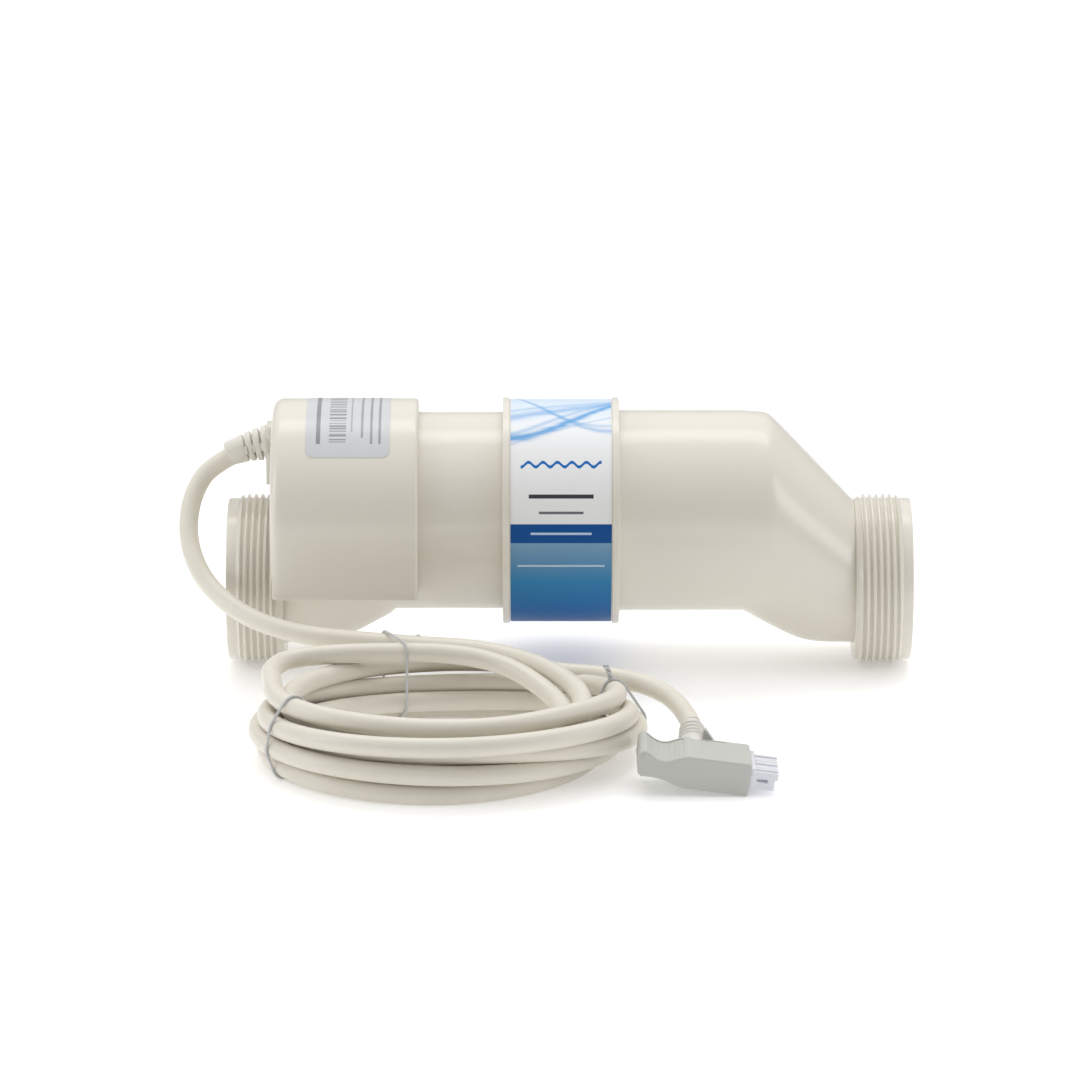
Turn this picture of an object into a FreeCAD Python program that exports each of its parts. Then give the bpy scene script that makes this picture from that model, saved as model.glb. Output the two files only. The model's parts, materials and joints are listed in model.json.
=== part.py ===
import FreeCAD, Part
import math
import os
import Sketcher

# Salt chlorine generator cell: a flow tube with offset union ends, a potted
# terminal cover, an electrode pack inside and a coiled cable with a plug.
# Frame: X along the tube, Y away from the viewer, Z up, floor at Z = 0.

doc = FreeCAD.newDocument("chlorinator_cell")
V = FreeCAD.Vector
sheet = doc.addObject("Spreadsheet::Sheet", "dims")

DIMS = [
    # flow tube
    ("half_length", 196.85, "origin to the end of each union thread"),
    ("axis_z", 89.5, "height of the main tube's axis"),
    ("left_tube_r", 56.75, "outer radius, cable-end tube"),
    ("right_tube_r", 57.85, "outer radius, plain-end tube"),
    ("tube_bore_r", 51.0, "inner radius of the main tube"),
    ("shoulder_x", 114.7, "where the tube ends and the top slope starts"),
    ("joint_x", 22.0, "end of the cable-end tube inside the bell"),
    ("bell_left", -38.4, "open end of the bell"),
    ("bell_right", 28.3, "closed end of the bell"),
    ("bell_r", 64.05, "outer radius of the bell"),
    ("rib_r", 65.2, "outer radius of the bell's two ribs"),
    ("rib_w", 4.0, "width of each rib"),
    # union ends
    ("union_z", 48.8, "height of the union axis"),
    ("collar_x", 163.9, "inner face of the threaded collar"),
    ("land_r", 46.6, "plain land and thread root radius"),
    ("crest_r", 48.8, "thread crest radius"),
    ("pitch", 3.81, "thread pitch"),
    ("crest_half", 0.45, "half width of the thread crest"),
    ("ridge_half", 1.55, "half width of the thread ridge at its root"),
    ("thread_sink", 0.4, "depth of the ridge's foot inside the collar"),
    ("thread_gap", 1.5, "collar face to the start of the thread"),
    ("thread_l", 21.4, "length of the thread"),
    ("thread_fade", 3.2, "length over which the thread fades at each end"),
    ("neck_r", 37.5, "outer radius of the neck under the slope"),
    ("union_bore_r", 31.5, "water bore of each end"),
    ("slope_end_r", 41.85, "outer radius where the slope meets the collar"),
    ("slope_end_z", 53.15, "height of that circle's centre"),
    ("slope_wall", 5.0, "wall of the sloped part"),
    ("scoop_x0", 88.0, "start of the lower scoop, inside the tube wall"),
    # terminal cover
    ("cover_left", -173.1, "closed end of the cover"),
    ("cover_right", -86.5, "end of the cover over the tube"),
    ("cover_r", 64.7, "outer radius of the cover's round top"),
    ("cover_wall", 3.0, "wall of the cover"),
    ("cover_bottom", 53.0, "height of the cover's lower edge"),
    ("cover_round", 6.5, "rounding of the cover's closed end"),
    ("cover_lip_round", 2.6, "rounding of the cover's open end"),
    ("arch_gap", 1.5, "clearance of the cover over the thread"),
    ("label_t", 0.2, "thickness of both labels"),
    # lead boss and terminals
    ("boss_r", 26.0, "radius of the lead boss on the slope"),
    ("boss_z", 106.0, "height of the lead boss axis"),
    ("boss_face", -145.0, "outer face of the lead boss"),
    ("boss_wall", 8.0, "end wall of the lead boss"),
    ("stud_r", 3.0, "radius of the titanium studs"),
    ("stud_gap", 17.0, "distance between studs"),
    ("stud_end", -162.0, "free end of the studs"),
    # electrode pack
    ("plate_l", 170.0, "length of an electrode plate"),
    ("plate_h", 54.0, "height of an electrode plate"),
    ("plate_t", 1.0, "thickness of an electrode plate"),
    ("plate_gap", 6.2, "plate spacing, centre to centre"),
    ("plate_x", -95.0, "cable end of the plates"),
    ("comb_w", 6.0, "width of a plate spacer"),
    # cable
    ("cord_r", 5.5, "radius of the cable"),
    ("coil_rx", 95.0, "coil centreline half width along X"),
    ("coil_ry", 79.5, "coil centreline half depth along Y"),
    ("coil_cx", -66.5, "coil centre X"),
    ("coil_cy", -196.5, "coil centre Y"),
    ("coil_h", 47.0, "height of the coiled bundle"),
    ("coil_w", 33.0, "width of the coiled bundle"),
    ("tie_r", 0.9, "radius of a wire tie"),
    # plug
    ("plug_l", 60.0, "length of the plug body"),
    ("plug_d", 38.0, "depth of the plug body"),
    ("plug_h", 18.5, "height of the plug body"),
    ("plug_nose_x", 94.7, "nose of the plug body at the floor"),
    ("plug_front_y", -268.0, "front side of the plug"),
    ("plug_pitch", 7.5, "nose-down tilt of the plug in degrees"),
]
for row, (alias, value, note) in enumerate(DIMS, start=1):
    sheet.set("A%d" % row, alias)
    sheet.set("B%d" % row, str(value))
    sheet.set("C%d" % row, note)
    sheet.setAlias("B%d" % row, alias)
doc.recompute()
D = {alias: value for alias, value, note in DIMS}
PLATES = 13
ALONG_X = FreeCAD.Rotation(V(0, 1, 0), 90)
ALONG_MINUS_X = FreeCAD.Rotation(V(0, 1, 0), -90)
kept = []


def bind(obj, **exprs):
    """Tie properties to the sheet: Length="plate_l", x="plate_x", and so on."""
    for key, expr in exprs.items():
        prop = {"x": "Placement.Base.x", "y": "Placement.Base.y", "z": "Placement.Base.z"}
        text = str(expr)
        for alias in sorted(D, key=len, reverse=True):
            text = swap_word(text, alias)
        obj.setExpression(prop.get(key, key), text)
    return obj


def swap_word(text, alias):
    """Put the sheet's name before each whole-word use of one alias."""
    out = ""
    i = 0
    while i < len(text):
        whole = text.startswith(alias, i)
        before = text[i - 1] if i else " "
        after = text[i + len(alias)] if i + len(alias) < len(text) else " "
        if whole and not (before.isalnum() or before in "_.") and not (after.isalnum() or after == "_"):
            out += "dims." + alias
            i += len(alias)
        else:
            out += text[i]
            i += 1
    return out


def tube_x(name, radius, x0, x1, z="axis_z", y="0"):
    """A solid cylinder along X from x0 to x1, all given as sheet expressions."""
    obj = doc.addObject("Part::Cylinder", name)
    obj.Placement = FreeCAD.Placement(V(0, 0, 0), ALONG_X)
    return bind(obj, Radius=radius, Height="(%s) - (%s)" % (x1, x0), x=x0, y=y, z=z)


def cone_x(name, r1, r2, x0, x1, z="axis_z"):
    obj = doc.addObject("Part::Cone", name)
    obj.Placement = FreeCAD.Placement(V(0, 0, 0), ALONG_X)
    return bind(obj, Radius1=r1, Radius2=r2, Height="(%s) - (%s)" % (x1, x0), x=x0, z=z)


def block(name, x0, x1, y0, y1, z0, z1):
    obj = doc.addObject("Part::Box", name)
    return bind(
        obj,
        Length="(%s) - (%s)" % (x1, x0),
        Width="(%s) - (%s)" % (y1, y0),
        Height="(%s) - (%s)" % (z1, z0),
        x=x0,
        y=y0,
        z=z0,
    )


def fuse(name, shapes):
    obj = doc.addObject("Part::MultiFuse", name)
    obj.Shapes = shapes
    return obj


def cut(name, base, tools):
    tool = tools[0] if len(tools) == 1 else fuse(name + "_tools", tools)
    obj = doc.addObject("Part::Cut", name)
    obj.Base = base
    obj.Tool = tool
    return obj


def common(name, base, tool):
    obj = doc.addObject("Part::Common", name)
    obj.Base = base
    obj.Tool = tool
    return obj


def loft(name, circles, ruled=False):
    """A solid through circles across X: (x, radius, centre height) expressions."""
    rings = []
    for n, (x, radius, z) in enumerate(circles):
        ring = doc.addObject("Part::Circle", "%s_ring_%d" % (name, n))
        ring.Placement = FreeCAD.Placement(V(0, 0, 0), ALONG_X)
        rings.append(bind(ring, Radius=radius, x=x, z=z))
    obj = doc.addObject("Part::Loft", name)
    obj.Sections = rings
    obj.Solid = True
    obj.Ruled = ruled
    return obj


def keep(obj, label):
    """Name a finished sub-part; its label is also its file name."""
    obj.Label = label
    kept.append(obj)
    return obj


def outline(name, points, plane_rotation, base):
    """A closed sketch of straight lines; each corner is bound to the sheet."""
    sketch = doc.addObject("Sketcher::SketchObject", name)
    sketch.Placement = FreeCAD.Placement(base, plane_rotation)
    count = len(points)
    for n in range(count):
        angle = 2 * math.pi * n / count
        step = 2 * math.pi * (n + 1) / count
        start = V(10 * math.cos(angle), 10 * math.sin(angle), 0)
        end = V(10 * math.cos(step), 10 * math.sin(step), 0)
        sketch.addGeometry(Part.LineSegment(start, end), False)
    for n in range(count):
        sketch.addConstraint(Sketcher.Constraint("Coincident", n, 2, (n + 1) % count, 1))
    for n, (u, v) in enumerate(points):
        for kind, expr in (("DistanceX", u), ("DistanceY", v)):
            index = sketch.addConstraint(Sketcher.Constraint(kind, -1, 1, n, 1, 1.0))
            bind(sketch, **{"Constraints[%d]" % index: expr})
    return sketch


# ---------------------------------------------------------------- housings
def union_thread(tag, start):
    """One helical ridge, faded into the plain lands at both ends."""
    helix = doc.addObject("Part::Helix", "thread_path_" + tag)
    helix.Placement = FreeCAD.Placement(V(0, 0, 0), ALONG_X)
    bind(helix, Pitch="pitch", Height="thread_l", Radius="land_r", x=start, z="union_z")
    profile = outline(
        "thread_profile_" + tag,
        [
            ("-ridge_half", "-thread_sink"),
            ("ridge_half", "-thread_sink"),
            ("crest_half", "crest_r - land_r"),
            ("-crest_half", "crest_r - land_r"),
        ],
        FreeCAD.Rotation(V(1, 0, 0), V(0, 0, -1), V(0, 1, 0), "XYZ"),
        V(0, 0, 0),
    )
    bind(profile, x=start, z="union_z - land_r")
    ridge = doc.addObject("Part::Sweep", "thread_ridge_" + tag)
    ridge.Sections = [profile]
    ridge.Spine = (helix, ["Edge1"])
    ridge.Solid = True
    ridge.Frenet = True
    low, high = "land_r - 0.3", "crest_r + 0.5"
    from_x, full_x = start + " - 0.2", start + " + thread_fade"
    last_x, to_x = start + " + thread_l - thread_fade", start + " + thread_l + 0.2"
    lead = cone_x("thread_lead_" + tag, low, high, from_x, full_x, "union_z")
    body = tube_x("thread_zone_" + tag, high, full_x, last_x, "union_z")
    tail = cone_x("thread_tail_" + tag, high, low, last_x, to_x, "union_z")
    return common("thread_" + tag, ridge, fuse("thread_limit_" + tag, [lead, body, tail]))


def reducer(tag, sign, tube_r, shrink):
    """The offset end of one housing; shrink is the wall taken off for its bore."""
    s = "%+d * " % sign
    less = " - " + shrink
    slope = loft(
        "slope_" + tag,
        [
            (s + "(shoulder_x - 1)" if shrink != "0" else s + "shoulder_x", tube_r + less, "axis_z"),
            (s + "(collar_x + %s)" % ("0.5" if shrink != "0" else "0"), "slope_end_r" + less, "slope_end_z"),
        ],
        ruled=True,
    )
    scoop = loft(
        "scoop_" + tag,
        [
            (s + "scoop_x0", "neck_r" + less, "union_z + 26.0"),
            (s + "(scoop_x0 + 28)", "neck_r" + less, "union_z + 10.4"),
            (s + "(scoop_x0 + 42.5)", "neck_r" + less, "union_z + 2.7"),
            (s + "(scoop_x0 + 53)", "neck_r" + less, "union_z"),
        ],
    )
    inner, outer = s + "(scoop_x0 + 53)", s + "(collar_x + 1)"
    first, last = (inner, outer) if sign > 0 else (outer, inner)
    neck = tube_x("neck_" + tag, "neck_r" + less, first, last, "union_z")
    return [slope, scoop, neck]


def collar(tag, sign):
    """The round threaded end, with softened rims."""
    inner, outer = "%+d * collar_x" % sign, "%+d * half_length" % sign
    first, last = (inner, outer) if sign > 0 else (outer, inner)
    rim_in = cone_x("rim_a_" + tag, "land_r - 1.2", "land_r", first, first + " + 1.0", "union_z")
    core = tube_x("land_" + tag, "land_r", first + " + 1.0", last + " - 1.0", "union_z")
    rim_out = cone_x("rim_b_" + tag, "land_r", "land_r - 1.2", last + " - 1.0", last, "union_z")
    start = "collar_x + thread_gap" if sign > 0 else "-collar_x - thread_gap - thread_l"
    return [rim_in, core, rim_out, union_thread(tag, start)]


def end_bore(tag, sign):
    inner, outer = "%+d * (collar_x - 12)" % sign, "%+d * (half_length + 1)" % sign
    first, last = (inner, outer) if sign > 0 else (outer, inner)
    return tube_x("end_bore_" + tag, "union_bore_r", first, last, "union_z")


left_tube = tube_x("left_tube", "left_tube_r", "-shoulder_x", "joint_x")
boss = tube_x("lead_boss", "boss_r", "boss_face", "-shoulder_x + 6", "boss_z")
left_outer = fuse(
    "left_outer", [left_tube, boss] + reducer("left", -1, "left_tube_r", "0") + collar("left", -1)
)
left_bore = tube_x("left_tube_bore", "tube_bore_r", "-shoulder_x + 1", "joint_x + 1")
boss_bore = tube_x("lead_boss_bore", "boss_r - 5", "boss_face + boss_wall", "-shoulder_x + 6", "boss_z")
left_inner = [left_bore, boss_bore, end_bore("left", -1)]
left_inner += reducer("left_in", -1, "(tube_bore_r + slope_wall)", "slope_wall")
for n, shift in enumerate(("-stud_gap", "0", "stud_gap")):
    left_inner.append(
        tube_x("stud_hole_%d" % n, "stud_r", "boss_face - 1", "boss_face + boss_wall + 1", "boss_z + 4", shift)
    )
    left_inner.append(
        tube_x("seal_pocket_%d" % n, "stud_r + 2.2", "boss_face - 1", "boss_face + 3", "boss_z + 4", shift)
    )
left_inner.append(
    tube_x("sensor_hole", "2.5", "boss_face - 1", "boss_face + boss_wall + 1", "boss_z - 16")
)
keep(cut("left_housing_cut", left_outer, left_inner), "cable_end_housing")

right_tube = tube_x("right_tube", "right_tube_r", "bell_right - 2", "shoulder_x")
bell = tube_x("bell", "bell_r", "bell_left", "bell_right")
rib_a = tube_x("bell_rib_a", "rib_r", "bell_left", "bell_left + rib_w")
rib_b = tube_x("bell_rib_b", "rib_r", "bell_right - rib_w", "bell_right")
right_outer = fuse(
    "right_outer",
    [right_tube, bell, rib_a, rib_b] + reducer("right", 1, "right_tube_r", "0") + collar("right", 1),
)
right_bore = tube_x("right_tube_bore", "tube_bore_r", "joint_x - 1", "shoulder_x - 1")
socket = tube_x("socket", "left_tube_r", "bell_left - 1", "joint_x")
right_inner = [right_bore, socket, end_bore("right", 1)]
right_inner += reducer("right_in", 1, "(tube_bore_r + slope_wall)", "slope_wall")
keep(cut("right_housing_cut", right_outer, right_inner), "plain_end_housing")


# ---------------------------------------------------------- terminal cover
def hood(tag, radius, x0, x1, bottom):
    """A round-topped, straight-sided block over the tube."""
    top = tube_x("hood_top_" + tag, radius, x0, x1)
    sides = block("hood_sides_" + tag, x0, x1, "-(%s)" % radius, radius, bottom, "axis_z")
    whole = fuse("hood_" + tag, [top, sides])
    keep_above = block("hood_limit_" + tag, x0, x1, "-80", "80", bottom, "axis_z + 80")
    return common("hood_body_" + tag, whole, keep_above)


def round_edges(name, base, chosen, radius):
    """Round the edges that the test picks; the radius is a sheet value."""
    doc.recompute()
    obj = doc.addObject("Part::Fillet", name)
    obj.Base = base
    picked = []
    for n, edge in enumerate(base.Shape.Edges, start=1):
        if chosen(edge):
            picked.append((n, D[radius], D[radius]))
    obj.Edges = picked
    return obj


def at_x(edge, x):
    box = edge.BoundBox
    return abs(box.XMin - x) < 0.01 and abs(box.XMax - x) < 0.01


def above(edge, z):
    return edge.BoundBox.ZMax > z


cover_block = hood("outer", "cover_r", "cover_left", "cover_right", "cover_bottom")
cover_low = D["cover_bottom"] + 0.1
cover_block = round_edges(
    "cover_round_a", cover_block, lambda e: at_x(e, D["cover_left"]) and above(e, cover_low), "cover_round"
)
cover_block = round_edges(
    "cover_round_b",
    cover_block,
    lambda e: at_x(e, D["cover_right"]) and above(e, cover_low),
    "cover_lip_round",
)
cover_cavity = hood(
    "inner", "cover_r - cover_wall", "cover_left + cover_wall", "cover_right - cover_wall", "cover_bottom - 1"
)
cover_mouth = tube_x("cover_mouth", "left_tube_r", "cover_right - 10", "cover_right + 1")
cover_arch = tube_x(
    "cover_arch", "crest_r + arch_gap", "cover_left - 1", "cover_left + cover_wall + 1", "union_z"
)
cable_hole = tube_x("cable_hole", "6", "cover_left - 1", "cover_left + 10", "129.8")
keep(cut("cover_cut", cover_block, [cover_cavity, cover_mouth, cover_arch, cable_hole]), "terminal_cover")


def wrap(name, inner, x0, x1, sweep, middle):
    """A thin label bent round the tube axis, centred on an angle from +Y."""
    shells = []
    for tag, radius in (("out", inner + " + label_t"), ("in", inner)):
        shell = tube_x(name + "_" + tag, radius, x0, x1)
        shell.Angle = sweep
        spin = FreeCAD.Rotation(V(1, 0, 0), middle)
        shell.Placement.Rotation = spin * ALONG_X * FreeCAD.Rotation(V(0, 0, 1), -sweep / 2.0)
        shells.append(shell)
    return cut(name, shells[0], [shells[1]])


keep(wrap("front_label_wrap", "bell_r", "bell_left + 4.6", "bell_right - 4.6", 300, -90), "front_label")
keep(wrap("data_label_wrap", "cover_r", "-150.6", "-102.6", 96, 180), "data_label")

# potting resin that closes the cover's underside in front and behind
for tag, y0, y1 in (("front", "-cover_r + cover_wall", "0"), ("rear", "0", "cover_r - cover_wall")):
    fill = block(
        "potting_block_" + tag,
        "cover_left + cover_wall",
        "cover_right - cover_wall",
        y0,
        y1,
        "cover_bottom",
        "cover_bottom + 12",
    )
    hollow = [
        tube_x("potting_tube_" + tag, "left_tube_r", "-shoulder_x", "0"),
        tube_x("potting_arch_" + tag, "crest_r + arch_gap", "-half_length", "-collar_x", "union_z"),
        loft(
            "potting_slope_" + tag,
            [("-shoulder_x", "left_tube_r", "axis_z"), ("-collar_x", "slope_end_r", "slope_end_z")],
            ruled=True,
        ),
    ]
    keep(cut("potting_cut_" + tag, fill, hollow), "potting_" + tag)

# ----------------------------------------------------------- electrode pack
middle = (PLATES - 1) // 2
for n in range(PLATES):
    y = "%d * plate_gap" % (n - middle)
    sheet_metal = block(
        "plate_sheet_%02d" % n,
        "plate_x",
        "plate_x + plate_l",
        y + " - plate_t / 2",
        y + " + plate_t / 2",
        "axis_z - plate_h / 2",
        "axis_z + plate_h / 2",
    )
    if n in (0, middle, PLATES - 1):
        tab = block(
            "plate_tab_%02d" % n,
            "-106",
            "plate_x + 1",
            y + " - plate_t / 2",
            y + " + plate_t / 2",
            "boss_z - 4",
            "boss_z + 10",
        )
        sheet_metal = fuse("plate_%02d" % n, [sheet_metal, tab])
    keep(sheet_metal, "electrode_plate_%02d" % (n + 1))

for tag, x in (("a", "-75"), ("b", "55")):
    disc = tube_x("spacer_disc_" + tag, "tube_bore_r", x, x + " + comb_w")
    if tag == "b":
        bind(disc, Radius="tube_bore_r")
    half = "%d * plate_gap + 1.3" % middle
    window = block(
        "spacer_window_" + tag,
        x + " - 1",
        x + " + comb_w + 1",
        "-(%s)" % half,
        half,
        "axis_z - plate_h / 2 + 3",
        "axis_z + plate_h / 2 - 3",
    )
    slots = [window]
    for n in range(PLATES):
        y = "%d * plate_gap" % (n - middle)
        slots.append(
            block(
                "spacer_slot_%s_%02d" % (tag, n),
                x + " - 1",
                x + " + comb_w + 1",
                y + " - plate_t / 2",
                y + " + plate_t / 2",
                "axis_z - plate_h / 2",
                "axis_z + plate_h / 2",
            )
        )
    keep(cut("spacer_cut_" + tag, disc, slots), "plate_spacer_" + tag)

# lead straps, studs, seals, washers, nuts and ring terminals
SPOTS = (("front", -1), ("centre", 0), ("rear", 1))
for tag, side in SPOTS:
    y = "%d * stud_gap" % side
    stud_z = "boss_z + 4"
    outer = "%d * plate_gap" % (side * middle)
    if side < 0:
        span = (outer + " - plate_t / 2", y + " + 6")
    elif side > 0:
        span = (y + " - 6", outer + " + plate_t / 2")
    else:
        span = ("-6", "6")
    keep(
        block("strap_" + tag, "-108", "-106", span[0], span[1], "boss_z - 4", "boss_z + 10"),
        "lead_strap_" + tag,
    )
    keep(tube_x("stud_" + tag, "stud_r", "stud_end", "-108", stud_z, y), "lead_stud_" + tag)
    seal = tube_x("seal_out_" + tag, "stud_r + 2.2", "boss_face", "boss_face + 3", stud_z, y)
    seal_hole = tube_x("seal_in_" + tag, "stud_r", "boss_face - 1", "boss_face + 4", stud_z, y)
    keep(cut("seal_" + tag, seal, [seal_hole]), "lead_seal_" + tag)
    washer = tube_x("washer_out_" + tag, "7", "boss_face - 1", "boss_face", stud_z, y)
    washer_hole = tube_x("washer_in_" + tag, "stud_r", "boss_face - 2", "boss_face + 1", stud_z, y)
    keep(cut("washer_" + tag, washer, [washer_hole]), "washer_" + tag)
    for part_tag, x0 in (("inner", "boss_face - 6"), ("outer", "boss_face - 12.5")):
        nut = doc.addObject("Part::Prism", "nut_blank_%s_%s" % (part_tag, tag))
        nut.Polygon = 6
        nut.Placement = FreeCAD.Placement(V(0, 0, 0), ALONG_X)
        bind(nut, Circumradius="stud_r * 1.92", Height="5", x=x0, y=y, z=stud_z)
        nut_hole = tube_x(
            "nut_hole_%s_%s" % (part_tag, tag), "stud_r", x0 + " - 1", x0 + " + 6", stud_z, y
        )
        keep(cut("nut_%s_%s" % (part_tag, tag), nut, [nut_hole]), "nut_%s_%s" % (part_tag, tag))
    eye = tube_x("eye_out_" + tag, "5.6", "boss_face - 7.5", "boss_face - 6", stud_z, y)
    link = block(
        "eye_link_" + tag,
        "boss_face - 7.5",
        "boss_face - 6",
        y + " - 2",
        y + " + 2",
        "boss_z + 8",
        "boss_z + 12.5",
    )
    barrel = doc.addObject("Part::Cylinder", "eye_barrel_" + tag)
    bind(barrel, Radius="2.4", Height="7", x="boss_face - 6.75", y=y, z="boss_z + 12")
    eye_hole = tube_x("eye_in_" + tag, "stud_r", "boss_face - 8", "boss_face - 5", stud_z, y)
    eyelet = fuse("eye_solid_" + tag, [eye, link, barrel])
    keep(cut("eye_" + tag, eyelet, [eye_hole]), "ring_terminal_" + tag)

keep(
    tube_x("sensor", "2.5", "boss_face - 4", "boss_face + boss_wall + 10", "boss_z - 16"),
    "temperature_probe",
)


# ------------------------------------------------------------------- cables
def smooth_wire(points):
    """Straight runs joined by tangent arcs through free route points."""
    pts = [V(*p) for p in points]
    edges = []
    radii = []
    here = pts[0]
    for n in range(1, len(pts) - 1):
        back = pts[n - 1] - pts[n]
        ahead = pts[n + 1] - pts[n]
        turn = math.pi - back.getAngle(ahead)
        radius = 0.45 * min(back.Length, ahead.Length) / math.tan(turn / 2)
        set_back = radius * math.tan(turn / 2)
        start = pts[n] + V(back).normalize() * set_back
        end = pts[n] + V(ahead).normalize() * set_back
        inward = (V(back).normalize() + V(ahead).normalize()).normalize()
        centre = pts[n] + inward * (radius / math.cos(turn / 2))
        crown = centre - inward * radius
        edges.append(Part.LineSegment(here, start).toShape())
        edges.append(Part.Arc(start, crown, end).toShape())
        radii.append(radius)
        here = end
    edges.append(Part.LineSegment(here, pts[-1]).toShape())
    return Part.Wire(edges), radii


def swept_tube(label, points, radius):
    """A round tube along a route; its radii and volume are checked."""
    wire, radii = smooth_wire(points)
    first = V(*points[1]) - V(*points[0])
    circle = Part.Wire(Part.makeCircle(radius, V(*points[0]), first))
    shape = wire.makePipeShell([circle], True, False)
    expected = math.pi * radius ** 2 * wire.Length
    print(label, "length", round(wire.Length, 1), "radii", [round(r, 1) for r in radii],
          "volume ratio", round(shape.Volume / expected, 4))
    obj = doc.addObject("Part::Feature", label)
    obj.Shape = shape
    obj.Placement = FreeCAD.Placement()
    return keep(obj, label)


# inner conductors from the terminals to the cable entry
BUNDLE = {"front": (-2.6, 131.0), "centre": (0.0, 126.9), "rear": (2.6, 131.0)}
for tag, side in SPOTS:
    x = D["boss_face"] - 6.75
    y = side * D["stud_gap"]
    exit_y, exit_z = BUNDLE[tag]
    route = [
        (x, y, D["boss_z"] + 19),
        (x - 1.5, y, D["boss_z"] + 28.0),
        (x - 10.0, (y + exit_y) / 2, exit_z + 3.0),
        (D["cover_left"] + 0.5, exit_y, exit_z),
    ]
    swept_tube("lead_wire_" + tag, route, 1.6)
swept_tube(
    "sensor_wire",
    [
        (D["boss_face"] - 4, 0, D["boss_z"] - 16),
        (D["boss_face"] - 14, 0.5, D["boss_z"] - 15.5),
        (D["boss_face"] - 19.5, 6.5, D["boss_z"] - 6),
        (D["boss_face"] - 21, 7.5, D["boss_z"] + 12),
        (D["cover_left"] + 0.5, 0.5, 133.6),
    ],
    0.9,
)

LEAD_ROUTE = [
    (-181.5, 0, 127.6),
    (-205.5, -1, 118.6),
    (-218.0, -9.5, 100.0),
    (-219.5, -27, 78.0),
    (-208.5, -50, 59.0),
    (-184.0, -75, 46.0),
    (-153.0, -95, 41.5),
    (-118.0, -107, 41.5),
    (-84.0, -114, 40.5),
]
TAIL_ROUTE = [
    (-14.0, -141, 33.5),
    (22.0, -146, 32.5),
    (47.0, -158, 29.5),
    (61.5, -181, 25.5),
    (66.0, -206, 21.5),
]
swept_tube("cord_lead", LEAD_ROUTE, D["cord_r"])
swept_tube("cord_tail", TAIL_ROUTE, D["cord_r"])

# the coiled bundle as one ring of rounded section round an oval
oval = doc.addObject("Part::Ellipse", "coil_path")
bind(oval, MajorRadius="coil_rx", MinorRadius="coil_ry", x="coil_cx", y="coil_cy", z="coil_h / 2")
section = doc.addObject("Part::Ellipse", "coil_section")
section.Placement = FreeCAD.Placement(V(0, 0, 0), FreeCAD.Rotation(V(0, 0, 1), V(1, 0, 0), V(0, 1, 0), "XYZ"))
bind(
    section,
    MajorRadius="coil_h / 2",
    MinorRadius="coil_w / 2",
    x="coil_cx + coil_rx",
    y="coil_cy",
    z="coil_h / 2",
)
coil = doc.addObject("Part::Sweep", "coil_ring")
coil.Sections = [section]
coil.Spine = (oval, ["Edge1"])
coil.Solid = True
coil.Frenet = True
keep(coil, "cord_coil")


# ------------------------------------------------------------ cable gland
def lean(s):
    """Downward lean of the strain relief, in degrees, at distance s."""
    return 8.0 + 17.0 * s / 24.5


def gland_point(s):
    steps = 40
    x, z = D["cover_left"], 129.8
    for k in range(steps):
        a = math.radians(lean(s * (k + 0.5) / steps))
        x -= math.cos(a) * s / steps
        z -= math.sin(a) * s / steps
    return V(x, 0, z)


RINGS = ((0.0, 3.4, 10.3, 10.1), (4.4, 8.0, 9.5, 9.3), (9.0, 12.4, 8.7, 8.5), (13.4, 24.5, 8.2, 7.1))
CORES = ((-1.5, 5.0, 6.0, 7.4), (4.5, 9.5, 7.4, 7.2), (9.0, 14.0, 7.2, 7.0))
pieces = []
for n, (s0, s1, r0, r1) in enumerate(RINGS + CORES):
    a, b = gland_point(s0), gland_point(s1)
    if s0 < 0:
        a = V(D["cover_left"] + 3.0, 0, 130.1)
        r0 = 5.8
    ring = doc.addObject("Part::Cone", "gland_ring_%d" % n)
    ring.Radius1 = r0
    ring.Radius2 = r1
    ring.Height = (b - a).Length
    ring.Placement = FreeCAD.Placement(a, FreeCAD.Rotation(V(0, 0, 1), b - a))
    pieces.append(ring)
pieces.append(block("gland_plate", "cover_left - 1.4", "cover_left", "-9", "9", "106.5", "141"))
gland_blank = fuse("gland_fused", pieces)
gland_side = block("gland_side", "cover_left - 40", "cover_left", "-30", "30", "90", "160")
gland_neck = tube_x("gland_neck", "5.9", "cover_left - 2", "cover_left + cover_wall", "129.8")
gland_zone = fuse("gland_zone", [gland_side, gland_neck])
keep(common("gland", gland_blank, gland_zone), "cable_gland")

# ------------------------------------------------------------------- plug
TILT = FreeCAD.Rotation(V(0, 1, 0), D["plug_pitch"])
NOSE = V(D["plug_nose_x"], D["plug_front_y"], 0)


def seat(obj):
    """Tilt a plug piece about its lower nose edge; pieces are drawn with it at 0."""
    local = obj.Placement
    obj.Placement = FreeCAD.Placement(NOSE, TILT).multiply(local)
    return obj


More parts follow.
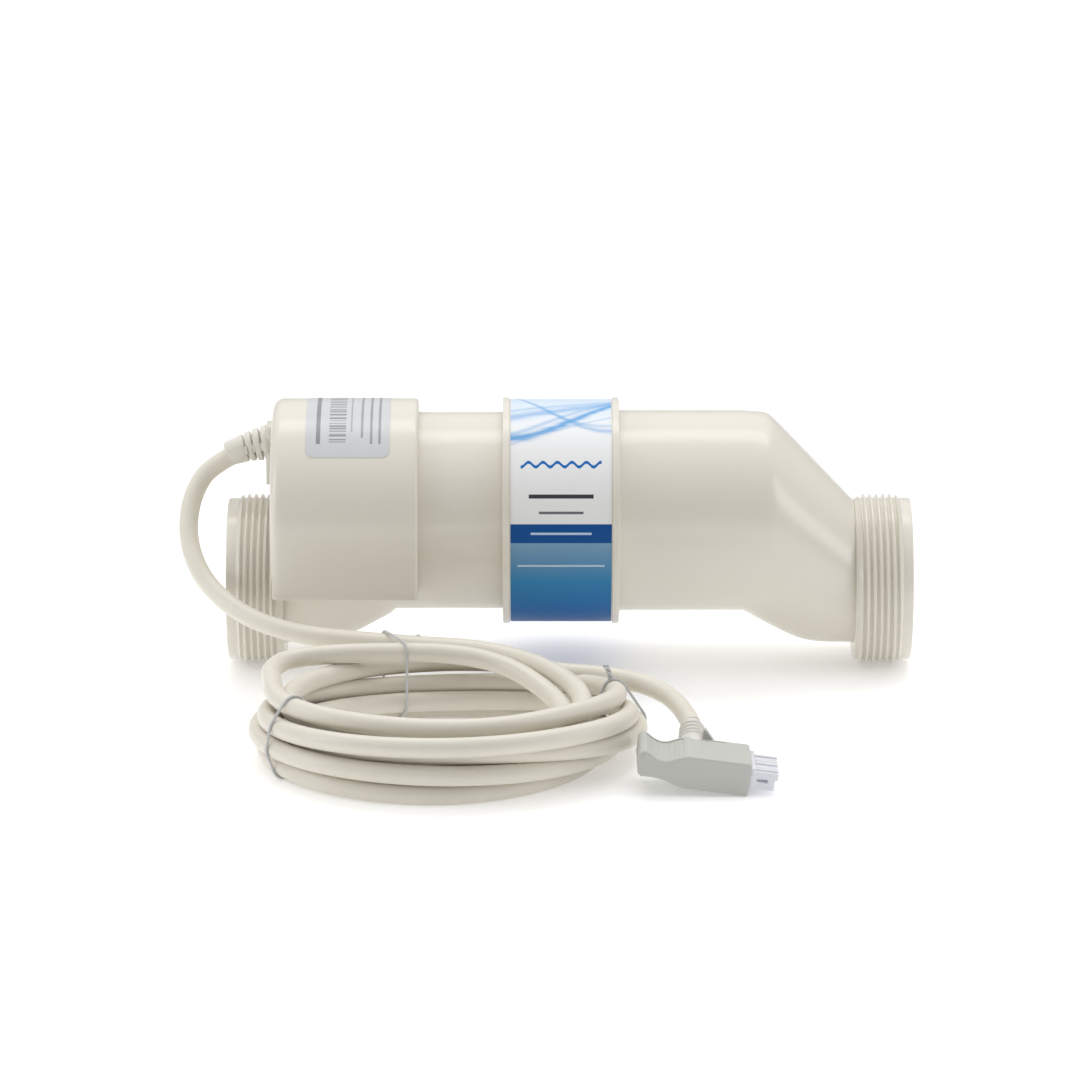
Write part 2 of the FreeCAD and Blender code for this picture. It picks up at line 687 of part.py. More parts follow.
body = doc.addObject("PartDesign::Body", "plug_shell")
profile = body.newObject("Sketcher::SketchObject", "plug_profile")
xz = [f for f in body.Origin.OriginFeatures if f.Name.startswith("XZ_Plane")][0]
profile.AttachmentSupport = (xz, [""])
profile.MapMode = "FlatFace"
corners = [
    ("0", "0"),
    ("0", "plug_h"),
    ("-plug_l * 0.575", "plug_h"),
    ("-plug_l * 0.66", "plug_h - 1.6"),
    ("-plug_l * 0.74", "plug_h - 3.6"),
    ("-plug_l * 0.80", "plug_h - 4.1"),
    ("-plug_l * 0.87", "plug_h - 3.2"),
    ("-plug_l * 0.93", "plug_h - 1.2"),
    ("-plug_l + 1.2", "plug_h + 0.6"),
    ("-plug_l - 0.3", "plug_h - 0.6"),
    ("-plug_l - 1.0", "plug_h * 0.66"),
    ("-plug_l - 0.4", "plug_h * 0.26"),
    ("-plug_l + 1.2", "plug_h * 0.19"),
    ("-plug_l * 0.86", "plug_h * 0.23"),
    ("-plug_l * 0.76", "plug_h * 0.17"),
    ("-plug_l * 0.68", "plug_h * 0.08"),
    ("-plug_l * 0.61", "0"),
]
count = len(corners)
for n in range(count):
    t0 = 2 * math.pi * n / count
    t1 = 2 * math.pi * (n + 1) / count
    p0 = V(20 * math.cos(t0), 20 * math.sin(t0), 0)
    p1 = V(20 * math.cos(t1), 20 * math.sin(t1), 0)
    profile.addGeometry(Part.LineSegment(p0, p1), False)
for n in range(count):
    profile.addConstraint(Sketcher.Constraint("Coincident", n, 2, (n + 1) % count, 1))
for n, (u, v) in enumerate(corners):
    for kind, expr in (("DistanceX", u), ("DistanceY", v)):
        index = profile.addConstraint(Sketcher.Constraint(kind, -1, 1, n, 1, 1.0))
        bind(profile, **{"Constraints[%d]" % index: expr})
doc.recompute()
pad = body.newObject("PartDesign::Pad", "plug_pad")
pad.Profile = profile
pad.Reversed = True
bind(pad, Length="plug_d")
doc.recompute()
if body.Shape.BoundBox.YMin < -1:
    pad.Reversed = False
    doc.recompute()
groove = body.newObject("PartDesign::Chamfer", "plug_edges")
edges = []
for n, edge in enumerate(pad.Shape.Edges, start=1):
    box = edge.BoundBox
    flat_y = box.YLength < 0.01
    long_top = abs(box.ZMin - D["plug_h"]) < 0.01 and box.ZLength < 0.01 and box.XLength > 20
    long_low = abs(box.ZMin) < 0.01 and box.ZLength < 0.01 and box.XLength > 20
    if flat_y and (long_top or long_low):
        edges.append("Edge%d" % n)
groove.Base = (pad, edges)
groove.Size = 0.8
doc.recompute()
body.Placement = FreeCAD.Placement(NOSE, TILT)
slit = doc.addObject("Part::Box", "plug_slit")
bind(slit, Length="18", Width="1.0", Height="2")
slit.Placement.Base = V(-D["plug_l"] * 0.52, D["plug_d"] - 3.5, D["plug_h"] - 1.2)
seat(slit)
keep(cut("plug_body_cut", body, [slit]), "plug_body")


def plug_block(name, x0, x1, y0, y1, z0, z1):
    obj = doc.addObject("Part::Box", name)
    obj.Length = x1 - x0
    obj.Width = y1 - y0
    obj.Height = z1 - z0
    obj.Placement.Base = V(x0, y0, z0)
    return seat(obj)


insulator = fuse(
    "insulator_blank",
    [
        plug_block("insulator_shoulder", 0, 2.6, 1.6, 36.4, 3.6, 15.6),
        plug_block("insulator_block", 2.5, 13.6, 2.4, 35.6, 4.4, 14.0),
        plug_block("insulator_lip", 13.5, 15.2, 2.4, 35.6, 10.2, 14.0),
        plug_block("insulator_ridge_a", 2.5, 15.2, 5.0, 7.4, 13.9, 14.8),
        plug_block("insulator_ridge_b", 2.5, 15.2, 16.5, 21.5, 13.9, 14.8),
        plug_block("insulator_ridge_c", 2.5, 15.2, 30.6, 33.0, 13.9, 14.8),
    ],
)
sockets = [plug_block("insulator_slot", 4.0, 9.6, 2.0, 4.6, 8.6, 10.2)]
sockets.append(plug_block("insulator_slot_rear", 4.0, 9.6, 33.4, 36.0, 8.6, 10.2))
CONTACTS = 4
for n in range(CONTACTS):
    y = 6.2 + 7.2 * n
    sockets.append(plug_block("contact_way_%d" % n, 3.0, 14.0, y, y + 4.0, 6.6, 9.0))
keep(cut("insulator", insulator, sockets), "plug_insulator")
contacts = []
for n in range(CONTACTS):
    y = 6.2 + 7.2 * n
    contacts.append(plug_block("contact_%d" % n, 3.0, 12.2, y + 0.8, y + 3.2, 6.6, 7.4))
keep(fuse("contacts_fused", contacts), "plug_contacts")

# strain relief from the plug's rear side to the cable
root = V(66.4, D["plug_front_y"] + D["plug_d"], 14.2)
tip = V(*TAIL_ROUTE[-1])
reach = tip - root
RELIEF = ((0.0, 0.30, 8.2, 7.9), (0.36, 0.50, 7.7, 7.5), (0.56, 0.70, 7.3, 7.1), (0.76, 0.88, 6.9, 6.7))
RELIEF_CORE = ((-0.02, 0.95, 7.0, 6.1), (0.9, 1.0, 6.4, 5.9))
parts = []
for n, (f0, f1, r0, r1) in enumerate(RELIEF + RELIEF_CORE):
    ring = doc.addObject("Part::Cone", "relief_ring_%d" % n)
    ring.Radius1 = r0
    ring.Radius2 = r1
    ring.Height = reach.Length * (f1 - f0)
    ring.Placement = FreeCAD.Placement(root + reach * f0, FreeCAD.Rotation(V(0, 0, 1), reach))
    parts.append(ring)
relief = fuse("relief_blank", parts)
behind = block("relief_zone", "0", "120", "plug_front_y + plug_d", "-190", "0", "60")
keep(common("relief", relief, behind), "plug_strain_relief")

# -------------------------------------------------------------- wire ties
# Each tie is one bent wire round the bundle: up from under it, over the top
# to a twist, and a short free tail.
TIES = (
    ("tie_back", 114.0, (12.0, 10.0, 3.0)),
    ("tie_left", 203.0, (7.0, -6.0, 1.0)),
    ("tie_right", 6.0, (-6.0, 8.0, 6.0)),
)
for label, angle, tail in TIES:
    turn = math.radians(angle)
    foot = V(
        D["coil_cx"] + D["coil_rx"] * math.cos(turn),
        D["coil_cy"] + D["coil_ry"] * math.sin(turn),
        0,
    )
    out = V(math.cos(turn) / D["coil_rx"], math.sin(turn) / D["coil_ry"], 0).normalize()
    wide = D["coil_w"] / 2
    high = D["coil_h"]
    ring = [
        (-2.0, high + 2.2),
        (wide * 0.62, high + 1.2),
        (wide + 2.6, high * 0.72),
        (wide + 2.4, high * 0.26),
        (wide * 0.55, 1.0),
        (-wide * 0.55, 1.0),
        (-wide - 2.4, high * 0.26),
        (-wide - 2.6, high * 0.72),
        (-wide * 0.62, high + 1.2),
        (0.0, high + 3.6),
    ]
    route = [foot + out * u + V(0, 0, z) for u, z in ring]
    knot = route[-1]
    route.append(knot + V(tail[0] * 0.5, tail[1] * 0.5, 2.0))
    route.append(knot + V(*tail))
    swept_tube(label, [tuple(p) for p in route], D["tie_r"])

# ------------------------------------------------------------ check, export
doc.recompute()
os.makedirs("parts", exist_ok=True)
for obj in doc.Objects:
    if "Invalid" in obj.State or "Error" in obj.State:
        raise RuntimeError("%s is %s" % (obj.Name, obj.State))
for obj in kept:
    shape = obj.Shape
    if shape.isNull() or not shape.isValid() or not shape.Solids:
        raise RuntimeError("%s has no valid solid" % obj.Label)
    shape.exportStep("parts/%s.step" % obj.Label)
    box = shape.BoundBox
    print("%-24s solids %d volume %10.1f  X %.1f..%.1f Y %.1f..%.1f Z %.1f..%.1f" % (
        obj.Label, len(shape.Solids), shape.Volume,
        box.XMin, box.XMax, box.YMin, box.YMax, box.ZMin, box.ZMax))
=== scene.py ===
import json
import math

import bmesh
import bpy
import numpy as np
from mathutils import Matrix, Vector


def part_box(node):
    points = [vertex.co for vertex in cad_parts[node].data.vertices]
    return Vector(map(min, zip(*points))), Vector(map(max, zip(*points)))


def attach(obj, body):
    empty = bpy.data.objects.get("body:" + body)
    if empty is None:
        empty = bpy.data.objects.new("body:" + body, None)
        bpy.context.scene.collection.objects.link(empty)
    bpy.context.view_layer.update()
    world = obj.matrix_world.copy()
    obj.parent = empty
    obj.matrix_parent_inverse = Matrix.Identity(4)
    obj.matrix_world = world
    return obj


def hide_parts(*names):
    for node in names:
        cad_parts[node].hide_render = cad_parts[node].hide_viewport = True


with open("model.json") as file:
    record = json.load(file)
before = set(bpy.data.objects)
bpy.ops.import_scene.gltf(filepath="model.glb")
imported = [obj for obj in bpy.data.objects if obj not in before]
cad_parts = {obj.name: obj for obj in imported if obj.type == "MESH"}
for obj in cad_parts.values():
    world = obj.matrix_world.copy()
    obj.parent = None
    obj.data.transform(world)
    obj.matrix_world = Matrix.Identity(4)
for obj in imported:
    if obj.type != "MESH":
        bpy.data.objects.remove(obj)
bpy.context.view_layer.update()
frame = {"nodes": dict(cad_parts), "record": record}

# Looks of the salt chlorine generator cell. Lengths below are in millimetres in
# the row frame and become metres in mesh data through MM.
MM = 0.001

CORD_R = 5.5
TUBE_AXIS_Z = 89.5
UNION_Z = 48.8
ROUND = 160  # columns round the housings


# ------------------------------------------------------------------ camera
def make_camera():
    """A long lens, 15 degrees above the horizon, square to the tube."""
    data = bpy.data.cameras.new("camera")
    data.lens = 201.8
    data.sensor_width = 36
    data.clip_start = 0.1
    data.clip_end = 60
    camera = bpy.data.objects.new("camera", data)
    target = Vector((-17.05, 0, 71.6)) * MM
    tilt = math.radians(15)
    camera.location = target + Vector((0, -math.cos(tilt), math.sin(tilt))) * 3.5
    camera.rotation_euler = (math.radians(75), 0, 0)
    bpy.context.scene.collection.objects.link(camera)
    bpy.context.scene.camera = camera


make_camera()

# -------------------------------------------------------------------- cord
LEAD_ROUTE = [
    (-181.5, 0, 127.6),
    (-205.5, -1, 118.6),
    (-218.0, -9.5, 100.0),
    (-219.5, -27, 78.0),
    (-208.5, -50, 59.0),
    (-184.0, -75, 46.0),
    (-153.0, -95, 41.5),
    (-118.0, -107, 41.5),
    (-84.0, -114, 40.5),
]
TAIL_ROUTE = [
    (-14.0, -141, 33.5),
    (22.0, -146, 32.5),
    (47.0, -158, 29.5),
    (61.5, -181, 25.5),
    (66.0, -206, 21.5),
]
COIL_CENTRE = (-66.5, -196.5)
TURNS = 7
POINTS_PER_TURN = 24
# each turn's half width or half depth and its height where it passes the coil's
# right, front, left and back, in winding order from the back
RIGHT = [(78, 34), (86, 6), (93, 14), (103, 20), (101, 31), (95, 42), (70, 30)]
FRONT = [(76, 18), (88, 6), (91, 21), (78, 29), (88, 36), (74, 43), (64, 30)]
LEFT = [(89, 6), (101, 9), (105, 20), (92, 20), (102, 31), (95, 43), (90, 32)]
BACK = [(77, 6), (90, 6), (89, 18), (77, 17), (78, 27), (66, 44), (89, 29)]
# places where a turn strays from its oval: quarter turns from the start, share
# of its radius, and how many quarter turns it takes
STRAYS = [
    (0.5, -0.10, 0.5),
    (5.5, -0.08, 0.5),
    (9.5, -0.08, 0.5),
    (13.5, -0.05, 0.5),
    (17.5, -0.05, 0.5),
    (21.45, -0.10, 0.35),
    (23.42, 0.28, 0.22),
    (24.6, -0.16, 0.5),
]


def between(values, t):
    """A smooth curve through evenly spaced values, read at t."""
    i = max(0, min(len(values) - 2, int(math.floor(t))))
    f = t - i
    p0, p1 = values[max(0, i - 1)], values[i]
    p2, p3 = values[i + 1], values[min(len(values) - 1, i + 2)]
    slope = (p2 - p0) * f
    bend = (2 * p0 - 5 * p1 + 4 * p2 - p3) * f ** 2
    twist = (3 * p1 - p0 - 3 * p2 + p3) * f ** 3
    return 0.5 * (2 * p1 + slope + bend + twist)


def coil_angle(point, turns):
    """Direction of a route point from the coil's centre, less whole turns."""
    dx, dy = point[0] - COIL_CENTRE[0], point[1] - COIL_CENTRE[1]
    return math.degrees(math.atan2(dy / 82.5, dx / 95)) - 360 * turns


def wind_coil():
    """Points of the turns, clockwise from the lead's end to the tail's start."""
    widths = [size for k in range(TURNS) for size in (RIGHT[k][0], LEFT[k][0])] + [86]
    depths = [LEAD_ROUTE[-1][1] - COIL_CENTRE[1]]
    heights = [LEAD_ROUTE[-1][2]]
    for k in range(TURNS):
        depths += [FRONT[k][0], BACK[k][0]]
        heights += [RIGHT[k][1], FRONT[k][1], LEFT[k][1], BACK[k][1]]
    heights.append(TAIL_ROUTE[0][2] + 2)
    start, end = coil_angle(LEAD_ROUTE[-1], 0), coil_angle(TAIL_ROUTE[0], TURNS)
    count = round((start - end) / 360 * POINTS_PER_TURN)
    points = []
    for i in range(1, count):
        angle = start + (end - start) * i / count
        quarter = (90 - angle) / 90
        stray = 1 + sum(share * math.exp(-((quarter - at) / wide) ** 2) for at, share, wide in STRAYS)
        x = between(widths, (quarter - 1) / 2) * stray * math.cos(math.radians(angle))
        y = between(depths, quarter / 2) * stray * math.sin(math.radians(angle))
        points.append((COIL_CENTRE[0] + x, COIL_CENTRE[1] + y, between(heights, quarter)))
    return points


def settle(before, turns, after, rounds=400):
    """Push strands that meet apart, a little downwards, and keep them on the floor."""
    points = np.array(before + turns + after, float)
    home = points.copy()
    free = np.zeros(len(points), bool)
    free[len(before):len(points) - len(after)] = True
    order = np.arange(len(points))
    apart = np.abs(order[:, None] - order[None, :]) > POINTS_PER_TURN // 3
    apart = apart[:, :-1] & apart[:, 1:]
    for step in range(rounds):
        start, run = points[:-1], np.diff(points, axis=0)
        offset = points[:, None] - start[None]
        t = np.clip((offset * run).sum(2) / (run ** 2).sum(1), 0, 1)
        gap = offset - t[..., None] * run
        distance = np.sqrt((gap ** 2).sum(2)) + 1e-9
        overlap = np.where(apart, np.maximum(0, 1.97 * CORD_R - distance), 0)
        push = gap / distance[..., None] * overlap[..., None] * 0.165
        move = push.sum(1)
        move[:-1] -= (push * (1 - t)[..., None]).sum(0)
        move[1:] -= (push * t[..., None]).sum(0)
        points[free] += np.clip(move, -1.5, 1.5)[free]
        drift = points - home
        drift[1:-1] = 0.25 * drift[:-2] + 0.5 * drift[1:-1] + 0.25 * drift[2:]
        points[free] = (home + drift)[free]
        if step < rounds * 0.7:
            points[free, 2] -= 0.012
        points[free, 2] = np.maximum(points[free, 2], CORD_R)
    return [tuple(p) for p in points]


def cord_curve(name, route):
    """One open, smooth NURBS line whose control points are the route's points."""
    data = bpy.data.curves.new(name, "CURVE")
    data.dimensions = "3D"
    data.resolution_u = 12
    spline = data.splines.new("NURBS")
    spline.points.add(len(route) - 1)
    for knot, place in zip(spline.points, route):
        knot.co = (place[0] * MM, place[1] * MM, place[2] * MM, 1)
    spline.order_u = 3
    spline.use_endpoint_u = True
    obj = bpy.data.objects.new(name, data)
    bpy.context.scene.collection.objects.link(obj)
    return obj


def line_of(obj):
    """Points along a curve that has no bevel yet, in millimetres."""
    mesh = bpy.data.meshes.new_from_object(obj.evaluated_get(bpy.context.evaluated_depsgraph_get()))
    points = np.array([v.co for v in mesh.vertices]) / MM
    bpy.data.meshes.remove(mesh)
    return points


coil = settle(LEAD_ROUTE[-3:], wind_coil(), TAIL_ROUTE[:3])
cord = cord_curve("cord", LEAD_ROUTE[:-3] + coil + TAIL_ROUTE[3:])
cord_line = line_of(cord)
cord.data.bevel_depth = CORD_R * MM
cord.data.bevel_resolution = 8
cord.data.use_fill_caps = True


# --------------------------------------------------------------- materials
class Paint:
    """A material under construction, with short calls that add and join nodes."""

    def __init__(self, name):
        self.material = bpy.data.materials.new(name)
        self.material.use_nodes = True
        self.tree = self.material.node_tree
        self.shader = self.tree.nodes["Principled BSDF"]
        self.place = self.node("ShaderNodeTexCoord").outputs["Object"]

    def node(self, kind, **settings):
        made = self.tree.nodes.new(kind)
        for key, value in settings.items():
            setattr(made, key, value)
        return made

    def plug(self, value, socket):
        """Join an output to a socket, or set the socket's own value."""
        if isinstance(value, bpy.types.NodeSocket):
            self.tree.links.new(value, socket)
        elif value is not None:
            socket.default_value = value

    def calc(self, operation, a, b=None, c=None):
        made = self.node("ShaderNodeMath", operation=operation)
        for value, socket in zip((a, b, c), made.inputs):
            self.plug(value, socket)
        return made.outputs[0]

    def stretched(self, scale):
        made = self.node("ShaderNodeMapping")
        self.plug(self.place, made.inputs["Vector"])
        made.inputs["Scale"].default_value = scale
        return made.outputs[0]

    def noise(self, scale, detail, stretch=None):
        made = self.node("ShaderNodeTexNoise")
        self.plug(self.stretched(stretch) if stretch else self.place, made.inputs["Vector"])
        made.inputs["Scale"].default_value = scale
        made.inputs["Detail"].default_value = detail
        return made.outputs["Fac"]

    def ramp(self, value, stops):
        made = self.node("ShaderNodeValToRGB")
        line = made.color_ramp.elements
        while len(line) < len(stops):
            line.new(0.5)
        for element, (at, colour) in zip(line, stops):
            element.position = at
            element.color = colour if len(colour) == 4 else (*colour, 1)
        self.plug(value, made.inputs["Fac"])
        return made.outputs["Color"]

    def mix(self, share, a, b):
        made = self.node("ShaderNodeMix", data_type="RGBA")
        self.plug(share, made.inputs["Factor"])
        self.plug(a, made.inputs["A"])
        self.plug(b, made.inputs["B"])
        return made.outputs["Result"]

    def span(self, value, low, high):
        """Map a 0 to 1 value to the span from low to high."""
        return self.calc("MULTIPLY_ADD", value, high - low, low)

    def inside(self, value, low, high):
        """1 where low < value < high."""
        above = self.calc("GREATER_THAN", value, low)
        return self.calc("MULTIPLY", above, self.calc("LESS_THAN", value, high))

    def bump(self, height, depth):
        """Raise the surface by height times depth in millimetres."""
        made = self.node("ShaderNodeBump")
        made.inputs["Strength"].default_value = 1
        made.inputs["Distance"].default_value = depth * MM
        self.plug(height, made.inputs["Height"])
        self.plug(made.outputs[0], self.shader.inputs["Normal"])

    def finish(self, colour, rough, **fixed):
        self.plug(colour, self.shader.inputs["Base Color"])
        self.plug(rough, self.shader.inputs["Roughness"])
        for key, value in fixed.items():
            self.shader.inputs[key.replace("_", " ")].default_value = value
        return self.material


def tint(red, green, blue):
    """An sRGB colour, 0 to 255, as linear RGBA."""
    linear = []
    for part in (red, green, blue):
        part = part / 255
        linear.append(part / 12.92 if part <= 0.04045 else ((part + 0.055) / 1.055) ** 2.4)
    return (*linear, 1)


def moulded(name, light, dark, rough=0.28, grain=0.002, coat=0.35):
    """Injection-moulded plastic: flow tint, faint scuffs, a fine eggshell grain."""
    p = Paint(name)
    flow = p.noise(7, 1, stretch=(0.6, 1.6, 1.6))
    cloud = p.noise(70, 1)
    colour = p.mix(p.calc("MULTIPLY", flow, 0.45), light, dark)
    colour = p.mix(p.calc("MULTIPLY", cloud, 0.10), colour, dark)
    scuff = p.ramp(p.noise(320, 6, stretch=(0.35, 1, 1)), [(0.50, (0, 0, 0)), (0.90, (1, 1, 1))])
    colour = p.mix(p.calc("MULTIPLY", scuff, 0.10), colour, dark)
    p.bump(p.noise(1300, 2), grain)
    return p.finish(colour, rough, Coat_Weight=coat, Coat_Roughness=0.1, IOR=1.5)


def jacket(name):
    """Soft PVC cable jacket: fine drag lines, a few darker handling marks."""
    p = Paint(name)
    cloud = p.noise(28, 4)
    colour = p.mix(cloud, tint(230, 225, 213), tint(222, 216, 202))
    marks = p.ramp(p.noise(210, 5), [(0.60, (0, 0, 0)), (0.80, (1, 1, 1))])
    colour = p.mix(p.calc("MULTIPLY", marks, 0.16), colour, tint(196, 188, 170))
    shine = p.span(p.noise(140, 3), 0.30, 0.46)
    p.bump(p.calc("ADD", p.noise(900, 3), p.calc("MULTIPLY", p.noise(90, 1), 4.0)), 0.02)
    return p.finish(colour, shine, Coat_Weight=0.12, Coat_Roughness=0.25, IOR=1.5)


def metal(name, light, dark, rough, stretch, metallic=1.0):
    """Drawn or rolled metal with fine lines along the slow axis."""
    p = Paint(name)
    lines = p.noise(60, 6, stretch=stretch)
    cloud = p.noise(120, 3)
    colour = p.mix(p.calc("MULTIPLY", p.calc("ADD", lines, cloud), 0.5), light, dark)
    shine = p.span(lines, *rough)
    p.bump(lines, 0.02)
    return p.finish(colour, shine, Metallic=metallic)


def rubbery(name, light, dark, rough=(0.5, 0.7)):
    """Matt rubber, resin or coated wire with a fine mottle."""
    p = Paint(name)
    cloud = p.noise(160, 5)
    colour = p.mix(cloud, light, dark)
    p.bump(p.noise(700, 4), 0.03)
    return p.finish(colour, p.span(cloud, *rough))


def around_axis(p, x0, x1):
    """Across (0 to 1) and up (degrees above the front) on a wrapped label."""
    split = p.node("ShaderNodeSeparateXYZ")
    p.plug(p.place, split.inputs[0])
    x, y, z = split.outputs
    across = p.calc("DIVIDE", p.calc("SUBTRACT", x, x0 * MM), (x1 - x0) * MM)
    height = p.calc("SUBTRACT", z, TUBE_AXIS_Z * MM)
    turn = p.calc("ARCTAN2", height, p.calc("MULTIPLY", y, -1.0))
    return across, p.calc("MULTIPLY", turn, 57.2958)


def dashes(p, along, line, low, high, scale, share=0.5):
    """Uneven plain dashes between two limits of line, running with along."""
    spots = p.node("ShaderNodeTexNoise", noise_dimensions="1D")
    p.plug(along, spots.inputs["W"])
    spots.inputs["Scale"].default_value = scale
    spots.inputs["Detail"].default_value = 0
    return p.calc("MULTIPLY", p.calc("GREATER_THAN", spots.outputs["Fac"], share), p.inside(line, low, high))


def front_film(name, x0, x1):
    """Printed film: water swooshes, a pale panel, a band and a blue fade."""
    p = Paint(name)
    u, up = around_axis(p, x0, x1)
    share = p.calc("DIVIDE", p.calc("ADD", up, 75.0), 180.0)

    def at(degrees):
        return (degrees + 75) / 180

    base = p.ramp(share, [
        (at(-75), tint(0, 66, 132)),
        (at(-48), tint(0, 92, 156)),
        (at(-24), tint(48, 128, 176)),
        (at(-3), tint(128, 164, 190)),
        (at(20), tint(238, 238, 236)),
        (at(62), tint(243, 244, 246)),
        (at(84), tint(214, 228, 243)),
    ])
    pale = p.calc("GREATER_THAN", up, 7.5)
    base = p.mix(pale, base, p.ramp(share, [
        (at(8), tint(236, 236, 235)), (at(58), tint(244, 245, 247)), (at(90), tint(212, 227, 243))]))
    fibre = p.noise(95, 4, stretch=(0.5, 3, 3))
    # each swoosh: height at the left edge, rise, power of the run, width, strength
    for start, rise, power, wide, strength, mirrored in (
        (54, 29, 1.6, 2.6, 0.95, False),
        (57, 30, 1.2, 1.6, 0.45, False),
        (70, 15, 1.0, 3.0, 0.60, False),
        (76, 12, 0.8, 1.5, 0.40, False),
        (59, 45, 2.0, 1.7, 0.55, True),
        (63, 42, 2.6, 1.1, 0.40, True),
        (50, 20, 0.9, 0.9, 0.30, False),
    ):
        run = p.calc("SUBTRACT", 1.0, u) if mirrored else u
        centre = p.calc("MULTIPLY_ADD", p.calc("POWER", run, power), rise, start)
        off = p.calc("DIVIDE", p.calc("SUBTRACT", up, centre), wide)
        off = p.calc("ADD", off, p.calc("MULTIPLY_ADD", fibre, 1.6, -0.8))
        glow = p.calc("EXPONENT", p.calc("MULTIPLY", p.calc("MULTIPLY", off, off), -1.0))
        glow = p.calc("MULTIPLY", glow, strength)
        base = p.mix(p.calc("MULTIPLY", glow, pale), base, tint(92, 164, 222))
    band = p.inside(up, -2.3, 7.5)
    base = p.mix(band, base, tint(0, 76, 146))
    fade = p.calc("MULTIPLY", p.noise(18, 3), p.calc("LESS_THAN", up, -2.3))
    base = p.mix(p.calc("MULTIPLY", fade, 0.25), base, tint(20, 110, 180))
    middle = p.inside(u, 0.07, 0.93)
    rule = p.calc("MULTIPLY", p.inside(up, -15.4, -14.4), middle)
    base = p.mix(p.calc("MULTIPLY", rule, 0.7), base, tint(214, 228, 238))
    # plain rules and a ripple where the print was
    ripple = p.calc("SINE", p.calc("MULTIPLY", u, 44.0))
    wave = p.calc("ABSOLUTE", p.calc("SUBTRACT", up, p.calc("MULTIPLY_ADD", ripple, 1.3, 38.4)))
    wave = p.calc("MULTIPLY", p.calc("LESS_THAN", wave, 0.9), p.inside(u, 0.10, 0.90))
    base = p.mix(wave, base, tint(20, 110, 190))
    for low, high, left, right, colour in (
        (20.5, 22.6, 0.18, 0.82, tint(64, 66, 70)),
        (12.6, 13.9, 0.28, 0.72, tint(110, 112, 116)),
        (2.0, 3.2, 0.20, 0.80, tint(186, 208, 232)),
    ):
        mark = p.calc("MULTIPLY", p.inside(up, low, high), p.inside(u, left, right))
        base = p.mix(mark, base, colour)
    shine = p.span(p.noise(260, 1), 0.34, 0.40)
    p.bump(p.noise(60, 1), 0.01)
    return p.finish(base, shine, Coat_Weight=0.04, Coat_Roughness=0.2, Specular_IOR_Level=0.18)


def data_film(name, x0, x1):
    """Metallised grey film with a block of bars and plain rules."""
    p = Paint(name)
    u, up = around_axis(p, x0, x1)
    base = p.mix(p.noise(70, 1), tint(208, 209, 211), tint(202, 203, 206))
    bars = p.calc("MULTIPLY", dashes(p, up, u, 0.28, 0.48, 0.62, 0.50), p.inside(up, 50, 128))
    base = p.mix(p.calc("MULTIPLY", bars, 0.75), base, tint(110, 112, 116))
    for left, right, low, high, dark in (
        (0.125, 0.175, 50, 128, 0.72),
        (0.535, 0.555, 58, 120, 0.45),
        (0.655, 0.685, 54, 124, 0.55),
        (0.765, 0.795, 50, 124, 0.60),
        (0.865, 0.895, 50, 126, 0.60),
    ):
        mark = p.calc("MULTIPLY", p.inside(u, left, right), p.inside(up, low, high))
        base = p.mix(p.calc("MULTIPLY", mark, dark), base, tint(88, 90, 95))
    shine = p.span(p.noise(300, 3), 0.26, 0.38)
    p.bump(p.noise(80, 2), 0.02)
    return p.finish(base, shine, Coat_Weight=0.15, Coat_Roughness=0.2)


FRONT_LABEL_X = (-33.8, 23.7)
DATA_LABEL_X = (-150.6, -102.6)
BODY_TINTS = (tint(229, 224, 212), tint(222, 216, 203))
# slot: how the material is made, then what its maker asks for
LOOKS = {
    "cable_end_plastic": (moulded, *BODY_TINTS),
    "plain_end_plastic": (moulded, *BODY_TINTS),
    "cover_plastic": (moulded, tint(228, 223, 211), tint(221, 215, 202)),
    "front_label_film": (front_film, *FRONT_LABEL_X),
    "data_label_film": (data_film, *DATA_LABEL_X),
    "potting_resin": (rubbery, tint(214, 208, 194), tint(198, 190, 174), (0.3, 0.5)),
    "coated_titanium": (metal, tint(98, 94, 92), tint(66, 62, 62), (0.45, 0.65), (0.3, 3, 3), 0.7),
    "spacer_plastic": (moulded, tint(236, 236, 232), tint(222, 221, 214), 0.28, 0.002, 0.0),
    "bare_titanium": (metal, tint(176, 172, 166), tint(138, 134, 130), (0.25, 0.42), (0.2, 4, 4)),
    "seal_rubber": (rubbery, tint(42, 42, 44), tint(26, 26, 28)),
    "stainless_steel": (metal, tint(206, 206, 204), tint(164, 165, 166), (0.2, 0.36), (0.6, 5, 5)),
    "tinned_copper": (metal, tint(206, 200, 190), tint(168, 160, 148), (0.24, 0.4), (0.5, 3, 3)),
    "wire_insulation": (rubbery, tint(188, 40, 36), tint(150, 26, 26), (0.32, 0.45)),
    "cable_jacket": (jacket,),
    "gland_plastic": (moulded, tint(228, 225, 216), tint(214, 210, 199), 0.4, 0.002, 0.05),
    "plug_plastic": (moulded, tint(196, 197, 191), tint(188, 189, 183), 0.42, 0.004, 0.05),
    "plug_boot": (moulded, tint(226, 223, 216), tint(212, 208, 200), 0.42, 0.002, 0.05),
    "insulator_plastic": (moulded, tint(232, 233, 240), tint(216, 218, 228), 0.25),
    "tie_coating": (rubbery, tint(208, 209, 209), tint(190, 191, 192), (0.3, 0.45)),
}
MATERIALS = {slot: make(slot, *asked) for slot, (make, *asked) in LOOKS.items()}
SLOT_OF = {part["node"]: part["material_slot"] for part in frame["record"]["subparts"]}


def paint(obj, slot):
    obj.data.materials.clear()
    obj.data.materials.append(MATERIALS[slot])


for node, obj in frame["nodes"].items():
    paint(obj, SLOT_OF[node])


